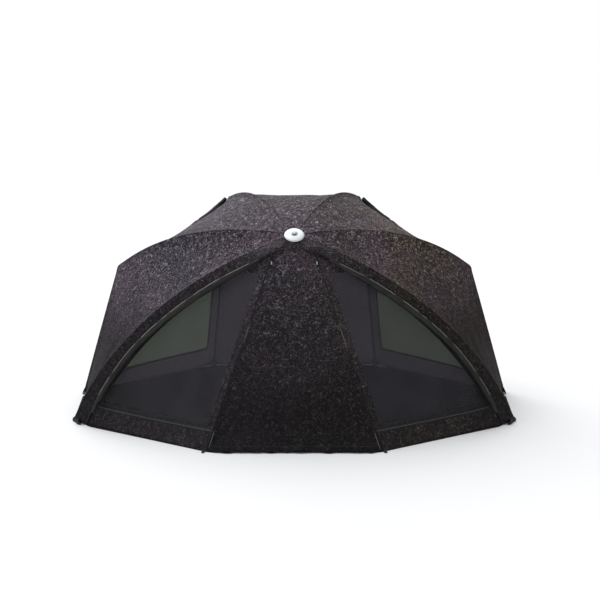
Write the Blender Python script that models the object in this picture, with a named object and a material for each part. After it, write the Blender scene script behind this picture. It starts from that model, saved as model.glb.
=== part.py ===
"""Fishing brolly shelter with a zipped front infill.

Six ribs leave a forward-tilted hub. The side and rear ribs bend at an elbow and run down to the ground.
Five canopy gores span them, and a door with two mesh-windowed wings closes the front.
Metres, +Z up, and the door faces -Y. The ground is z = 0.
"""

from math import cos, pi, radians, sin

import bmesh
import bpy
import numpy as np
from mathutils import Vector
from mathutils.bvhtree import BVHTree

# Hub
HUB = np.array([0.0, -0.4325, 1.07])
HUB_TILT = radians(36.0)
RING_R = 0.045
CAP_R = 0.0555
CAP_RISE = 0.0125
SCREW_R = 0.013

# Ribs, on the right side. Every fabric seam runs along these lines.
FRONT_FOOT = np.array([1.265, -0.4475, 0.0])
FRONT_BOW = np.array([0.9425, -0.4425, 0.72])
SIDE_ELBOW = np.array([1.095, 0.1175, 0.83])
SIDE_BOW = np.array([0.68, -0.158, 1.15])
SIDE_FOOT = np.array([1.365, 0.2075, 0.0])
REAR_ELBOW = np.array([0.43, 0.4375, 1.24])
REAR_BOW = np.array([0.22, 0.02, 1.37])
REAR_FOOT = np.array([0.60, 0.9175, 0.0])
FRONT_ANGLE = radians(-12.6)
SIDE_ANGLE = radians(23.0)
REAR_ANGLE = radians(65.0)
LEG_BOW = 0.002
ELBOW_AT = 0.5
FRONT_MATCH = 0.55
FRONT_SAG = 0.5
REAR_SAG = 0.1
BACK_SAG = 0.02

# Infill front
DOOR_FOOT = np.array([0.445, -0.9175, 0.0])
DOOR_HEAD = np.array([0.1065, -0.4812, 1.003])
ZIP_TOP_Z = 0.953
ZIP_BORDER = 0.045
ROLL_BORDER = 0.105
LIP_END = np.array([0.0, -0.500, 0.999])
LIP_SPREAD = 1.27
LIP_BLEND = 0.2
LIP_LIFT = 0.018
VALANCE_W = 0.060
VALANCE_FOOT_W = 0.085
VALANCE_LIFT = 0.0045

# Sheets, tubes and small parts
FABRIC = 0.003
GAP = 0.0003
SEAT = 0.0009
SEAM = 0.0004
HEM_Z = 0.0036
HEM_LIFT = 0.040
TUBE_R = 0.008
STRUT_R = 0.004
STRUT_REACH = 0.36
KNUCKLE_R = 0.0125
KNUCKLE_REACH = 0.038
SHOE_H = 0.034
FRONT_ROLL_R = 0.019
REAR_ROLL_R = 0.018
REAR_ROLL_SLOPE = 0.85
REAR_ROLL_STEPS = 22
GROUND_T = 0.003
CORNER_CUT = 0.052
PULL_LIFT = 0.0064
PULL_LENGTH = 0.040

FINE_ROWS = 41
FINE_COLS = 25
HUB_ROWS = [0.0, 0.016, 0.036, 0.0625, 0.094]
WINDOW_TOP_ROW = 0.5375
ROWS = np.concatenate([HUB_ROWS, np.linspace(0.125, 0.5, 7), [WINDOW_TOP_ROW], np.linspace(0.625, 1.0, 7)])
COLUMNS = np.array([0.0, 0.035, 0.10, 0.22, 0.36, 0.5, 0.64, 0.78, 0.90, 0.965, 1.0])
WING_ROWS = np.array([0.0, 0.06, 0.125, 0.2, 0.3, 0.4, 0.5, 0.6, 0.7, 0.8, 0.886, 0.95, 1.0])
WING_WINDOW = (2, 10)
ELBOW_ROW = 11
REAR_WINDOW = (12, 18)
REAR_BORDER = 0.07
RELAX_ROUNDS = 500

CAMO = (0.055, 0.049, 0.048)
CAMO_DARK = (0.020, 0.019, 0.020)
MESH_GREY = (0.030, 0.030, 0.034)
LINING = (0.075, 0.076, 0.072)
BLACK = (0.012, 0.012, 0.013)
SATIN = (0.72, 0.75, 0.76)
RIB_GREY = (0.11, 0.11, 0.12)
FLOOR_DARK = (0.022, 0.022, 0.023)


def clear_scene():
    for obj in list(bpy.data.objects):
        bpy.data.objects.remove(obj, do_unlink=True)


def material(name, colour, roughness, metallic=0.0):
    mat = bpy.data.materials.new(name)
    mat.use_nodes = True
    shader = mat.node_tree.nodes["Principled BSDF"]
    shader.inputs["Base Color"].default_value = (*colour, 1.0)
    shader.inputs["Roughness"].default_value = roughness
    shader.inputs["Metallic"].default_value = metallic
    mat.diffuse_color = (*colour, 1.0)
    return mat


def add_mesh(name, points, faces, mat, parent, smooth=True):
    mesh = bpy.data.meshes.new(name)
    mesh.from_pydata([tuple(p) for p in points], [], faces)
    mesh.materials.append(mat)
    mesh.polygons.foreach_set("use_smooth", [smooth] * len(mesh.polygons))
    obj = bpy.data.objects.new(name, mesh)
    bpy.context.collection.objects.link(obj)
    obj.parent = parent
    return obj


def unit(v):
    return v / np.maximum(np.linalg.norm(v, axis=-1, keepdims=True), 1e-12)


def mirrored(points):
    return points * np.array([-1.0, 1.0, 1.0])


# Lines of the frame


def bezier(a, b, c, t):
    t = np.asarray(t)[:, None]
    return a * (1 - t) ** 2 + b * 2 * t * (1 - t) + c * t**2


def hub_axis():
    return np.array([0.0, -sin(HUB_TILT), cos(HUB_TILT)])


def ring_point(angle, radius=RING_R, drop=0.0):
    across = np.array([1.0, 0.0, 0.0])
    up = np.array([0.0, cos(HUB_TILT), sin(HUB_TILT)])
    return HUB + radius * (across * cos(angle) + up * sin(angle)) - drop * hub_axis()


def bent_rib(start, bow, elbow, foot, t):
    """Hub to elbow over the first part of t, then elbow to foot, with a slight outward bow in the leg."""
    t = np.asarray(t)
    arm = bezier(start, bow, elbow, np.clip(t / ELBOW_AT, 0, 1))
    s = np.clip((t - ELBOW_AT) / (1 - ELBOW_AT), 0, 1)[:, None]
    out = unit(np.array([foot[0], foot[1] - HUB[1] - 0.3, 0.0]))
    leg = elbow * (1 - s) + foot * s + out * LEG_BOW * 4 * s * (1 - s)
    return np.where((t > ELBOW_AT)[:, None], leg, arm)


def front_rib(t):
    return bezier(ring_point(FRONT_ANGLE), FRONT_BOW, FRONT_FOOT, t)


def side_rib(t):
    return bent_rib(ring_point(SIDE_ANGLE), SIDE_BOW, SIDE_ELBOW, SIDE_FOOT, t)


def rear_rib(t):
    return bent_rib(ring_point(REAR_ANGLE), REAR_BOW, REAR_ELBOW, REAR_FOOT, t)


def front_match(t):
    """Pairs the smooth front rib with the elbows of the side rib."""
    return np.interp(t, [0.0, ELBOW_AT, 1.0], [0.0, FRONT_MATCH, 1.0])


# Stretched fabric


def coons(top, bottom, left, right):
    u = np.linspace(0, 1, len(left))[:, None, None]
    v = np.linspace(0, 1, len(top))[None, :, None]
    ruled = (1 - u) * top[None] + u * bottom[None] + (1 - v) * left[:, None] + v * right[:, None]
    corners = (1 - u) * ((1 - v) * top[0] + v * top[-1]) + u * ((1 - v) * bottom[0] + v * bottom[-1])
    return ruled - corners


def membrane(top, bottom, left, right, sag=1.0):
    """The stretched sheet between four boundary lines.

    Each inner point relaxes to the mean of its neighbours. sag is how far the sheet gets from straight
    across, at 0, to that fully relaxed shape, at 1.
    """
    straight = coons(top, bottom, left, right)
    grid = straight.copy()
    for _ in range(RELAX_ROUNDS):
        around = grid[:-2, 1:-1] + grid[2:, 1:-1] + grid[1:-1, :-2] + grid[1:-1, 2:]
        grid[1:-1, 1:-1] = around / 4
    return straight * (1 - sag) + grid * sag


def sample(grid, u, v):
    """The grid's points at parameters u and v, arrays of one shape, each from 0 to 1."""
    rows, cols = grid.shape[0] - 1, grid.shape[1] - 1
    x = np.clip(u, 0, 1) * rows
    y = np.clip(v, 0, 1) * cols
    i = np.minimum(x.astype(int), rows - 1)
    j = np.minimum(y.astype(int), cols - 1)
    a, b = (x - i)[..., None], (y - j)[..., None]
    upper = grid[i, j] * (1 - b) + grid[i, j + 1] * b
    lower = grid[i + 1, j] * (1 - b) + grid[i + 1, j + 1] * b
    return upper * (1 - a) + lower * a


def normals(grid, outward):
    du = np.gradient(grid, axis=0)
    dv = np.gradient(grid, axis=1)
    n = unit(np.cross(du, dv))
    return n if (n * outward).sum() > 0 else -n


def shell(name, outer, inward, keep, mat, parent):
    """One closed sheet: the outer grid, the same grid moved by inward, and walls round the kept cells."""
    rows, cols = outer.shape[:2]
    inner = outer + inward
    number = np.arange(rows * cols).reshape(rows, cols)
    faces = []
    count = rows * cols
    for i in range(rows - 1):
        for j in range(cols - 1):
            if not keep[i, j]:
                continue
            a, b, c, d = (int(number[p]) for p in ((i, j), (i + 1, j), (i + 1, j + 1), (i, j + 1)))
            faces.append((a, b, c, d))
            faces.append((d + count, c + count, b + count, a + count))
            beside = ((i, j - 1, a, b), (i + 1, j, b, c), (i, j + 1, c, d), (i - 1, j, d, a))
            for k, m, p, q in beside:
                outside = k < 0 or m < 0 or k >= rows - 1 or m >= cols - 1 or not keep[k, m]
                if outside:
                    faces.append((q, p, p + count, q + count))
    points = np.concatenate([outer.reshape(-1, 3), inner.reshape(-1, 3)])
    used = sorted({v for face in faces for v in face})
    place = {v: k for k, v in enumerate(used)}
    faces = [tuple(place[v] for v in face) for face in faces]
    obj = add_mesh(name, points[used], faces, mat, parent)
    face_out(obj.data)
    return obj


def face_out(mesh):
    bm = bmesh.new()
    bm.from_mesh(mesh)
    bmesh.ops.recalc_face_normals(bm, faces=bm.faces)
    if bm.calc_volume(signed=True) < 0:
        bmesh.ops.reverse_faces(bm, faces=bm.faces)
    bm.to_mesh(mesh)
    bm.free()


def pulled_apart(grid):
    """The sheet with half the seam gap taken off along each side, so that neighbours never touch."""
    out = grid.copy()
    out[:, 0] += unit(grid[:, 1] - grid[:, 0]) * SEAM
    out[:, -1] += unit(grid[:, -2] - grid[:, -1]) * SEAM
    return out


def mitre(own, other):
    """The inward step at a seam, shared by the two sheets that meet there."""
    bisector = unit(own + other)
    closeness = np.clip((bisector * own).sum(-1, keepdims=True), 0.45, 1)
    return -bisector * FABRIC / closeness


def whole(grid):
    return np.ones((grid.shape[0] - 1, grid.shape[1] - 1), bool)


def window_cells(grid, rows):
    """True on every cell but those of the window, which leaves one column of cells on each side."""
    keep = whole(grid)
    keep[rows[0] : rows[1], 1:-1] = False
    return keep


def shrunk(grid, by):
    """The grid with its outer ring of points moved in by that distance along the sheet."""
    out = grid.copy()
    out[0] += unit(grid[1] - grid[0]) * by
    out[-1] += unit(grid[-2] - grid[-1]) * by
    out[:, 0] += unit(grid[:, 1] - grid[:, 0]) * by
    out[:, -1] += unit(grid[:, -2] - grid[:, -1]) * by
    return out


def surface_tree(*grids):
    """A search tree that holds every cell split along both of its diagonals."""
    points, faces = [], []
    for grid in grids:
        start = len(points)
        rows, cols = grid.shape[:2]
        points.extend(Vector(p) for p in grid.reshape(-1, 3))
        for i in range(rows - 1):
            for j in range(cols - 1):
                a = start + i * cols + j
                b, c, d = a + cols, a + cols + 1, a + 1
                faces.extend([(a, b, c), (a, c, d), (a, b, d), (b, c, d)])
    return BVHTree.FromPolygons(points, faces)


def nearest(tree, point):
    place, _, _, distance = tree.find_nearest(Vector(point))
    return np.array(place), distance


def kept_clear(tree, points, radii, inward):
    """Moves each point inward until the tree's surface is its radius and the gap away."""
    out = points.copy()
    for k, point in enumerate(out):
        for _ in range(12):
            _, distance = nearest(tree, point)
            short = radii[k] + SEAT - distance
            if short <= 0:
                break
            point += inward[k] * (short + 1e-5)
    return out


# Tubes and turned pieces


def frames(path):
    tangents = unit(np.gradient(path, axis=0))
    side = unit(np.cross(tangents[0], [0.0, 0.3, 1.0]))
    sides = []
    for tangent in tangents:
        side = unit(side - tangent * (side @ tangent))
        sides.append(side)
    return np.array(sides), np.cross(tangents, np.array(sides))


def tube(name, path, radii, mat, parent, around=8, flat=1.0):
    """A closed tube along path, with one radius for each point."""
    first, second = frames(path)
    angles = np.arange(around) * 2 * pi / around
    rings = (
        path[:, None]
        + radii[:, None, None] * np.cos(angles)[None, :, None] * first[:, None]
        + radii[:, None, None] * np.sin(angles)[None, :, None] * second[:, None] * flat
    )
    faces = []
    for i in range(len(path) - 1):
        for k in range(around):
            a, b = i * around + k, i * around + (k + 1) % around
            faces.append((a, b, b + around, a + around))
    last = (len(path) - 1) * around
    faces.append(tuple(range(around)))
    faces.append(tuple(range(last, last + around)))
    obj = add_mesh(name, rings.reshape(-1, 3), faces, mat, parent)
    face_out(obj.data)
    return obj


def turned(name, profile, mat, parent, around=24):
    """A solid of revolution about local Z from (radius, height) pairs that start and end on the axis."""
    points = [(0.0, 0.0, profile[0][1])]
    for radius, height in profile[1:-1]:
        for k in range(around):
            angle = 2 * pi * k / around
            points.append((radius * cos(angle), radius * sin(angle), height))
    points.append((0.0, 0.0, profile[-1][1]))
    faces = []
    rings = len(profile) - 2
    for k in range(around):
        n = (k + 1) % around
        faces.append((0, 1 + n, 1 + k))
        for ring in range(rings - 1):
            a = 1 + ring * around
            faces.append((a + k, a + n, a + around + n, a + around + k))
        top = 1 + (rings - 1) * around
        faces.append((top + k, top + n, len(points) - 1))
    obj = add_mesh(name, points, faces, mat, parent)
    face_out(obj.data)
    return obj


def on_hub(obj, height=0.0):
    obj.location = HUB + height * hub_axis()
    obj.rotation_euler = (HUB_TILT, 0.0, 0.0)
    return obj


def block(name, centre, size, mat, parent, tilt=0.0):
    x, y, z = (s / 2 for s in size)
    points = [(i, j, k) for i in (-x, x) for j in (-y, y) for k in (-z, z)]
    faces = [(0, 1, 3, 2), (4, 6, 7, 5), (0, 4, 5, 1), (2, 3, 7, 6), (0, 2, 6, 4), (1, 5, 7, 3)]
    obj = add_mesh(name, points, faces, mat, parent, smooth=False)
    obj.location = centre
    obj.rotation_euler = (tilt, 0.0, 0.0)
    face_out(obj.data)
    bevel = obj.modifiers.new("rounded_edges", "BEVEL")
    bevel.width = min(size) * 0.3
    bevel.segments = 1
    return obj


# Canopy


def to_hem(rib, t):
    """The rib line cut off at the raised hem corner, with the elbow still halfway."""
    steps = np.linspace(0.7, 1, 200)
    end = float(np.interp(-HEM_LIFT, -rib(steps)[:, 2], steps))
    return rib(np.interp(t, [0.0, ELBOW_AT, 1.0], [0.0, ELBOW_AT, end]))


def hem_line(a, b):
    v = np.linspace(0, 1, FINE_COLS)
    line = a * (1 - v[:, None]) + b * v[:, None]
    off = np.minimum(v, 1 - v) * np.linalg.norm(b - a)
    line[:, 2] = HEM_Z + (HEM_LIFT - HEM_Z) * np.exp(-((off / 0.05) ** 2))
    return line


def ring_arc(a, b):
    return np.array([ring_point(angle) for angle in np.linspace(a, b, FINE_COLS)])


def gore_surface(rib_a, rib_b, angle_a, angle_b, sag):
    t = np.linspace(0, 1, FINE_ROWS)
    left, right = rib_a(t), rib_b(t)
    return membrane(ring_arc(angle_a, angle_b), hem_line(left[-1], right[-1]), left, right, sag)


def front_seam(t):
    return to_hem(front_rib, front_match(t))


def side_seam(t):
    return to_hem(side_rib, t)


def rear_seam(t):
    return to_hem(rear_rib, t)


def resampled(surface, rows, columns):
    u, v = np.meshgrid(rows, columns, indexing="ij")
    return sample(surface, u, v)


def banded_columns(surface, rows, low_border, high_border, inner):
    """Sampling parameters whose second and second-last columns run at a constant width from the sides."""
    line = sample(surface, *np.meshgrid(rows, np.linspace(0, 1, 33), indexing="ij"))
    widths = np.linalg.norm(np.diff(line, axis=1), axis=2).sum(axis=1)
    low = np.minimum(low_border / widths, 0.38)
    high = np.maximum(1 - high_border / widths, 0.62)
    spread = np.linspace(0, 1, inner)
    middle = low[:, None] + (high - low)[:, None] * spread[None]
    ends = np.zeros((len(rows), 1))
    return np.concatenate([ends, middle, ends + 1], axis=1)


def stepped_in(grid, n, low=None, high=None):
    """The inward step of each point, with the shared mitre along seams whose neighbours' normals are given."""
    inward = -n * FABRIC
    if low is not None:
        inward[:, 0] = mitre(n[:, 0], low)
    if high is not None:
        inward[:, -1] = mitre(n[:, -1], high)
    inward[-1, :, 2] = 0.0
    return inward


def window_mesh(name, grid, n, rows, mat, parent):
    """The fine mesh that fills a window, half as thick as the fabric and in the middle of its thickness."""
    part = slice(rows[0], rows[1] + 1)
    outer = shrunk(grid[part, 1:-1] - n[part, 1:-1] * FABRIC / 4, GAP)
    return shell(name, outer, -n[part, 1:-1] * FABRIC / 2, whole(outer), mat, parent)


def both_sides(build):
    """Runs build for the right side as modelled, then for its mirror image on the left."""
    build("right", lambda points: points)
    build("left", mirrored)


class Canopy:
    """The gores' sampled grids and normals on the right side, and across the back."""

    def __init__(self):
        front = gore_surface(front_seam, side_seam, FRONT_ANGLE, SIDE_ANGLE, FRONT_SAG)
        rear = gore_surface(side_seam, rear_seam, SIDE_ANGLE, REAR_ANGLE, REAR_SAG)
        left_seam = mirrored(rear_seam(np.linspace(0, 1, FINE_ROWS)))
        back = gore_surface(rear_seam, lambda t: left_seam, REAR_ANGLE, pi - REAR_ANGLE, BACK_SAG)
        inside = np.array([0.0, 0.1, 0.5])
        self.front = resampled(front, ROWS, COLUMNS)
        params = banded_columns(rear, ROWS, REAR_BORDER, REAR_BORDER, 8)
        self.rear = sample(rear, np.repeat(ROWS[:, None], params.shape[1], axis=1), params)
        self.back = resampled(back, ROWS, COLUMNS)
        self.front_n = normals(self.front, self.front - inside)
        self.rear_n = normals(self.rear, self.rear - inside)
        self.back_n = normals(self.back, self.back - inside)

    def front_in(self, valance_n):
        return stepped_in(self.front, self.front_n, valance_n, self.rear_n[:, 0])

    def rear_in(self):
        return stepped_in(self.rear, self.rear_n, self.front_n[:, -1], self.back_n[:, 0])

    def back_in(self):
        other = self.rear_n[:, -1]
        return stepped_in(self.back, self.back_n, other, mirrored(other))


# Infill


def zip_line(z):
    down = (DOOR_HEAD[2] - z) / DOOR_HEAD[2]
    return DOOR_HEAD * (1 - down)[:, None] + DOOR_FOOT * down[:, None]


def rib_at_height(z):
    t = np.linspace(0, 1, 400)
    line = front_rib(t)
    return front_rib(np.interp(-z, -line[:, 2], t))


def wing_surface(edge_z, edge):
    zips = zip_line(DOOR_HEAD[2] + (HEM_Z - DOOR_HEAD[2]) * edge_z)
    a, b = zips[-1], edge[-1]
    v = np.linspace(0, 1, FINE_COLS)[:, None]
    hem = a * (1 - v) + b * v
    off = (1 - v[:, 0]) * np.linalg.norm(b - a)
    hem[:, 2] = HEM_Z + (b[2] - HEM_Z) * np.exp(-((off / 0.12) ** 2))
    top = zips[0] * (1 - v) + edge[0] * v
    return membrane(top, hem, zips, edge)


class Infill:
    """The wing's and door's sampled grids on the right side, and the valance that hides their top edge."""

    def __init__(self, canopy):
        self.canopy = canopy
        u = np.linspace(0, 1, FINE_ROWS)
        ridge = rib_at_height(DOOR_HEAD[2] + (HEM_LIFT - DOOR_HEAD[2]) * u)
        forward = np.array([0.3, -1.0, 0.4])
        rough = wing_surface(u, ridge)
        wing_n = normals(rough, np.broadcast_to(forward, rough.shape))[:, -1]
        ridge_tangent = unit(np.gradient(ridge, axis=0))
        gore_n = unit(np.cross(ridge_tangent, [0.0, -1.0, 0.0]))
        gore_n *= np.sign(gore_n[:, 2:3])
        edge = ridge - VALANCE_LIFT * wing_n - (FABRIC + VALANCE_LIFT / 2) * gore_n
        fine = wing_surface(u, edge)
        params = banded_columns(fine, WING_ROWS, ZIP_BORDER, ROLL_BORDER, 7)
        self.wing = sample(fine, np.repeat(WING_ROWS[:, None], params.shape[1], axis=1), params)
        self.wing_n = normals(self.wing, np.broadcast_to(forward, self.wing.shape))
        zips = self.wing[:, 0]
        across = np.linspace(0, 1, 9)[None, :, None]
        self.door = mirrored(zips)[:, None] * (1 - across) + zips[:, None] * across
        self.door_n = normals(self.door, np.broadcast_to(forward, self.door.shape))
        self.tree = surface_tree(self.wing, self.door)
        self.lay_valance()

    def lay_valance(self):
        """The band from the ridge to its lower edge, on the right side, with the hub's front arc last."""
        ridge = to_hem(front_rib, front_match(ROWS))
        tangent = unit(np.gradient(ridge, axis=0))
        wing_n = np.array([self.tree.find_nearest(Vector(p))[1] for p in ridge])
        wing_n *= np.sign(-wing_n[:, 1:2])
        across = unit(np.cross(tangent, wing_n))
        across *= np.sign(-across[:, 1:2] - across[:, 2:3])
        blend = np.clip(front_match(ROWS) / LIP_BLEND, 0, 1)[:, None]
        lip = LIP_END + np.array([ridge[0][0] * LIP_SPREAD, 0.0, 0.0]) - ridge[0]
        width = VALANCE_W + (VALANCE_FOOT_W - VALANCE_W) * np.clip((ROWS - 0.6) / 0.4, 0, 1)[:, None]
        reach = lip * (1 - blend) + across * width * blend
        self.ridge, self.across, self.width = ridge, across, width
        rows = []
        for k in range(len(ridge)):
            row = [ridge[k] + reach[k] * part for part in (0.0, 0.5, 1.0)]
            height = VALANCE_LIFT + (1 - blend[k, 0]) * LIP_LIFT
            rows.append([row[0]] + [self.lifted(p, float(k > 0), height) for p in row[1:]])
        self.band = np.array(rows)

    def lifted(self, point, amount, height):
        """The point moved to that height above the wing, by that share."""
        place, normal, _, _ = self.tree.find_nearest(Vector(point))
        normal = np.array(normal) * (1 if normal[1] < 0 else -1)
        target = np.array(place) + normal * height
        target[2] = max(target[2], HEM_Z + 0.001)
        return point * (1 - amount) + target * amount

    def valance(self):
        """The whole band from the right foot round the hub's front to the left foot."""
        arc = np.array([ring_point(a) for a in np.linspace(FRONT_ANGLE, -pi / 2, 4)[1:]])
        low = LIP_END + (arc - HUB) * np.array([LIP_SPREAD, 0.0, 0.0])
        hub = np.stack([arc, (arc + low) / 2, low], axis=1)
        right = np.concatenate([self.band[::-1], hub])
        return np.concatenate([right, mirrored(right[-2::-1])])

    def roll_path(self, start, end, count):
        """A line along the wing just under the valance, at the height of the rolled cover's middle."""
        at = np.linspace(start, end, count)
        out = []
        for t in at:
            ridge, across, width = (
                np.array([np.interp(t, ROWS, line[:, k]) for k in range(line.shape[1])])
                for line in (self.ridge, self.across, self.width)
            )
            point = ridge + across * (width[0] + 0.004 + FRONT_ROLL_R)
            place, normal, _, _ = self.tree.find_nearest(Vector(point))
            normal = np.array(normal) * (1 if normal[1] < 0 else -1)
            out.append(np.array(place) + normal * (FRONT_ROLL_R + 2 * GAP))
        return np.array(out)


# Frame


def with_midpoints(points):
    out = np.repeat(points, 2, axis=0)[:-1]
    out[1::2] = (points[1:] + points[:-1]) / 2
    return out


def rib_path(seam, n_a, n_b, radius, elbow_radius, *inner_surfaces):
    inward = with_midpoints(-unit(n_a + n_b))
    radii = np.full(len(inward), radius)
    radii[2 * ELBOW_ROW - 1 : 2 * ELBOW_ROW + 2] = elbow_radius + SEAT * (elbow_radius > radius)
    start = with_midpoints(seam) + inward * (FABRIC + radii[:, None])
    return kept_clear(surface_tree(*inner_surfaces), start, radii, inward)


def down_to_shoe(path):
    """The leg's path with its last point set down just above the shoe."""
    out = path.copy()
    along = out[-1] - out[-2]
    out[-1] = out[-2] + along * (SHOE_H + 0.0040 - out[-2][2]) / along[2]
    return out


def shoe(name, foot, mat, parent):
    profile = [(0, 0), (0.0155, 0), (0.017, 0.003), (0.017, 0.021), (0.0115, SHOE_H), (0, SHOE_H)]
    obj = turned(name, profile, mat, parent, around=20)
    obj.location = (foot[0], foot[1], 0.0)
    return obj


def build_canopy(canopy, infill, looks, parent):
    band = infill.band
    band_n = normals(band, np.broadcast_to(np.array([0.3, -1.0, 0.4]), band.shape))
    valance_n = band_n[:, 0]

    def side(name, turn):
        front_in, rear_in = canopy.front_in(valance_n), canopy.rear_in()
        front = pulled_apart(canopy.front)
        rear = pulled_apart(canopy.rear)
        shell(f"canopy_front_{name}", turn(front), turn(front_in), whole(front), looks["camo"], parent)
        cells = window_cells(rear, REAR_WINDOW)
        shell(f"canopy_rear_{name}", turn(rear), turn(rear_in), cells, looks["camo"], parent)
        shown = turn(canopy.rear), turn(canopy.rear_n)
        window_mesh(f"rear_mesh_{name}", *shown, REAR_WINDOW, looks["mesh"], parent)

    both_sides(side)
    back = pulled_apart(canopy.back)
    shell("canopy_back", back, canopy.back_in(), whole(back), looks["camo"], parent)

    strip = infill.valance()
    strip_n = normals(strip, np.broadcast_to(np.array([0.0, -1.0, 0.4]), strip.shape))
    inward = -strip_n * FABRIC
    last = len(ROWS)
    shared = mitre(valance_n, canopy.front_n[:, 0])
    inward[:last, 0] = shared[::-1]
    inward[-last:, 0] = mirrored(shared)
    outer = strip.copy()
    outer[:, 0] += unit(strip[:, 1] - strip[:, 0]) * SEAM
    shell("front_valance", outer, inward, whole(strip), looks["dark"], parent)


def build_infill(infill, looks, parent):
    def side(name, turn):
        wing = pulled_apart(infill.wing)
        inward = stepped_in(infill.wing, infill.wing_n, infill.door_n[:, -1])
        cells = window_cells(wing, WING_WINDOW)
        shell(f"wing_{name}", turn(wing), turn(inward), cells, looks["camo"], parent)
        shown = turn(infill.wing), turn(infill.wing_n)
        window_mesh(f"wing_mesh_{name}", *shown, WING_WINDOW, looks["mesh"], parent)
        path = infill.roll_path(0.088, 0.93, 19)
        radii = np.interp(np.linspace(0, 1, 19), [0, 0.16, 0.9, 1], [0.0075, FRONT_ROLL_R, 0.017, 0.010])
        out = np.array([[0.3, -1.0, 0.4]]) * np.ones((19, 1))
        path = kept_clear(infill.tree, path, radii + GAP, unit(out))
        tube(f"rolled_cover_front_{name}", turn(path), radii, looks["lining"], parent)

    both_sides(side)
    door = pulled_apart(infill.door)
    beside = infill.wing_n[:, 0]
    inward = stepped_in(infill.door, infill.door_n, mirrored(beside), beside)
    shell("door", door, inward, whole(door), looks["camo"], parent)


def build_rear_rolls(canopy, looks, parent):
    tree = surface_tree(canopy.rear)
    columns = np.linspace(1, canopy.rear.shape[1] - 1.4, REAR_ROLL_STEPS)
    over, under = (
        [
            np.stack([np.interp(columns, np.arange(len(row)), row[:, k]) for k in range(3)], axis=1)
            for row in (canopy.rear[at], canopy.rear_n[at])
        ]
        for at in (ELBOW_ROW, REAR_WINDOW[0])
    )
    slope = np.linspace(REAR_ROLL_SLOPE, 0, REAR_ROLL_STEPS)[:, None]
    line, out = (high * (1 - slope) + low * slope for high, low in zip(over, under))
    out = unit(out)
    along = np.linspace(0, 1, REAR_ROLL_STEPS)
    radii = np.interp(along, [0, 0.1, 0.9, 1], [0.011, REAR_ROLL_R, REAR_ROLL_R, 0.011])
    path = kept_clear(tree, line + out * radii[:, None], radii + GAP, out)

    def side(name, turn):
        tube(f"rolled_cover_rear_{name}", turn(path), radii, looks["lining"], parent)

    both_sides(side)


def frame_paths(canopy, infill):
    """Centre lines and radii of the ribs on the right side, seated just under the fabric."""
    inner_front = canopy.front + canopy.front_in(infill.wing_n[:1, -1])
    inner_rear = canopy.rear + canopy.rear_in()
    inner_back = canopy.back + canopy.back_in()
    inner_wing = infill.wing - infill.wing_n * FABRIC
    inner_band = infill.band - 2 * FABRIC * np.array([0.0, -1.0, 0.0])
    wing_side = np.broadcast_to(np.array([0.2, -1.0, 0.2]), canopy.front_n[:, 0].shape)
    front = rib_path(
        canopy.front[:, 0], canopy.front_n[:, 0], unit(wing_side), TUBE_R, TUBE_R,
        inner_front, inner_wing, infill.wing, inner_band, infill.band,
    )
    side = rib_path(
        canopy.rear[:, 0], canopy.front_n[:, -1], canopy.rear_n[:, 0], TUBE_R, KNUCKLE_R,
        inner_front, inner_rear,
    )
    rear = rib_path(
        canopy.rear[:, -1], canopy.rear_n[:, -1], canopy.back_n[:, 0], TUBE_R, KNUCKLE_R,
        inner_rear, inner_back,
    )
    return down_to_shoe(front), down_to_shoe(side), down_to_shoe(rear)


def bent_pieces(path):
    """The arm down to its elbow, and the leg with the moulded elbow at its top."""
    middle = 2 * ELBOW_ROW
    down, up = unit(path[middle + 1] - path[middle]), unit(path[middle - 1] - path[middle])
    elbow = path[middle]
    off = np.linalg.norm(path - elbow, axis=1)
    before, after = np.arange(len(path)) < middle, np.arange(len(path)) > middle
    end = [elbow + up * (KNUCKLE_REACH + reach) for reach in (0.012, GAP)]
    arm = np.concatenate([path[before & (off > KNUCKLE_REACH + 0.02)], end])
    corner = [elbow + up * reach for reach in (KNUCKLE_REACH, KNUCKLE_REACH * 0.4)]
    corner += [elbow + (up + down) * 0.004]
    corner += [elbow + down * reach for reach in (KNUCKLE_REACH * 0.4, KNUCKLE_REACH, KNUCKLE_REACH + 0.004)]
    leg = np.concatenate([corner, path[after & (off > KNUCKLE_REACH + 0.01)]])
    radii = np.array([KNUCKLE_R] * 5 + [TUBE_R] * (len(leg) - 5))
    return arm, leg, radii


def build_frame(paths, looks, parent):
    front, side_line, rear_line = paths

    def side(name, turn):
        tube(f"front_rib_{name}", turn(front), np.full(len(front), TUBE_R), looks["rib"], parent)
        shoe(f"front_shoe_{name}", turn(front[-1]), looks["black"], parent)
        for place, line in (("side", side_line), ("rear", rear_line)):
            arm, leg, radii = bent_pieces(line)
            tube(f"{place}_rib_{name}", turn(arm), np.full(len(arm), TUBE_R), looks["rib"], parent)
            tube(f"{place}_leg_{name}", turn(leg), radii, looks["rib"], parent)
            shoe(f"{place}_shoe_{name}", turn(line[-1]), looks["black"], parent)

    both_sides(side)


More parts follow.
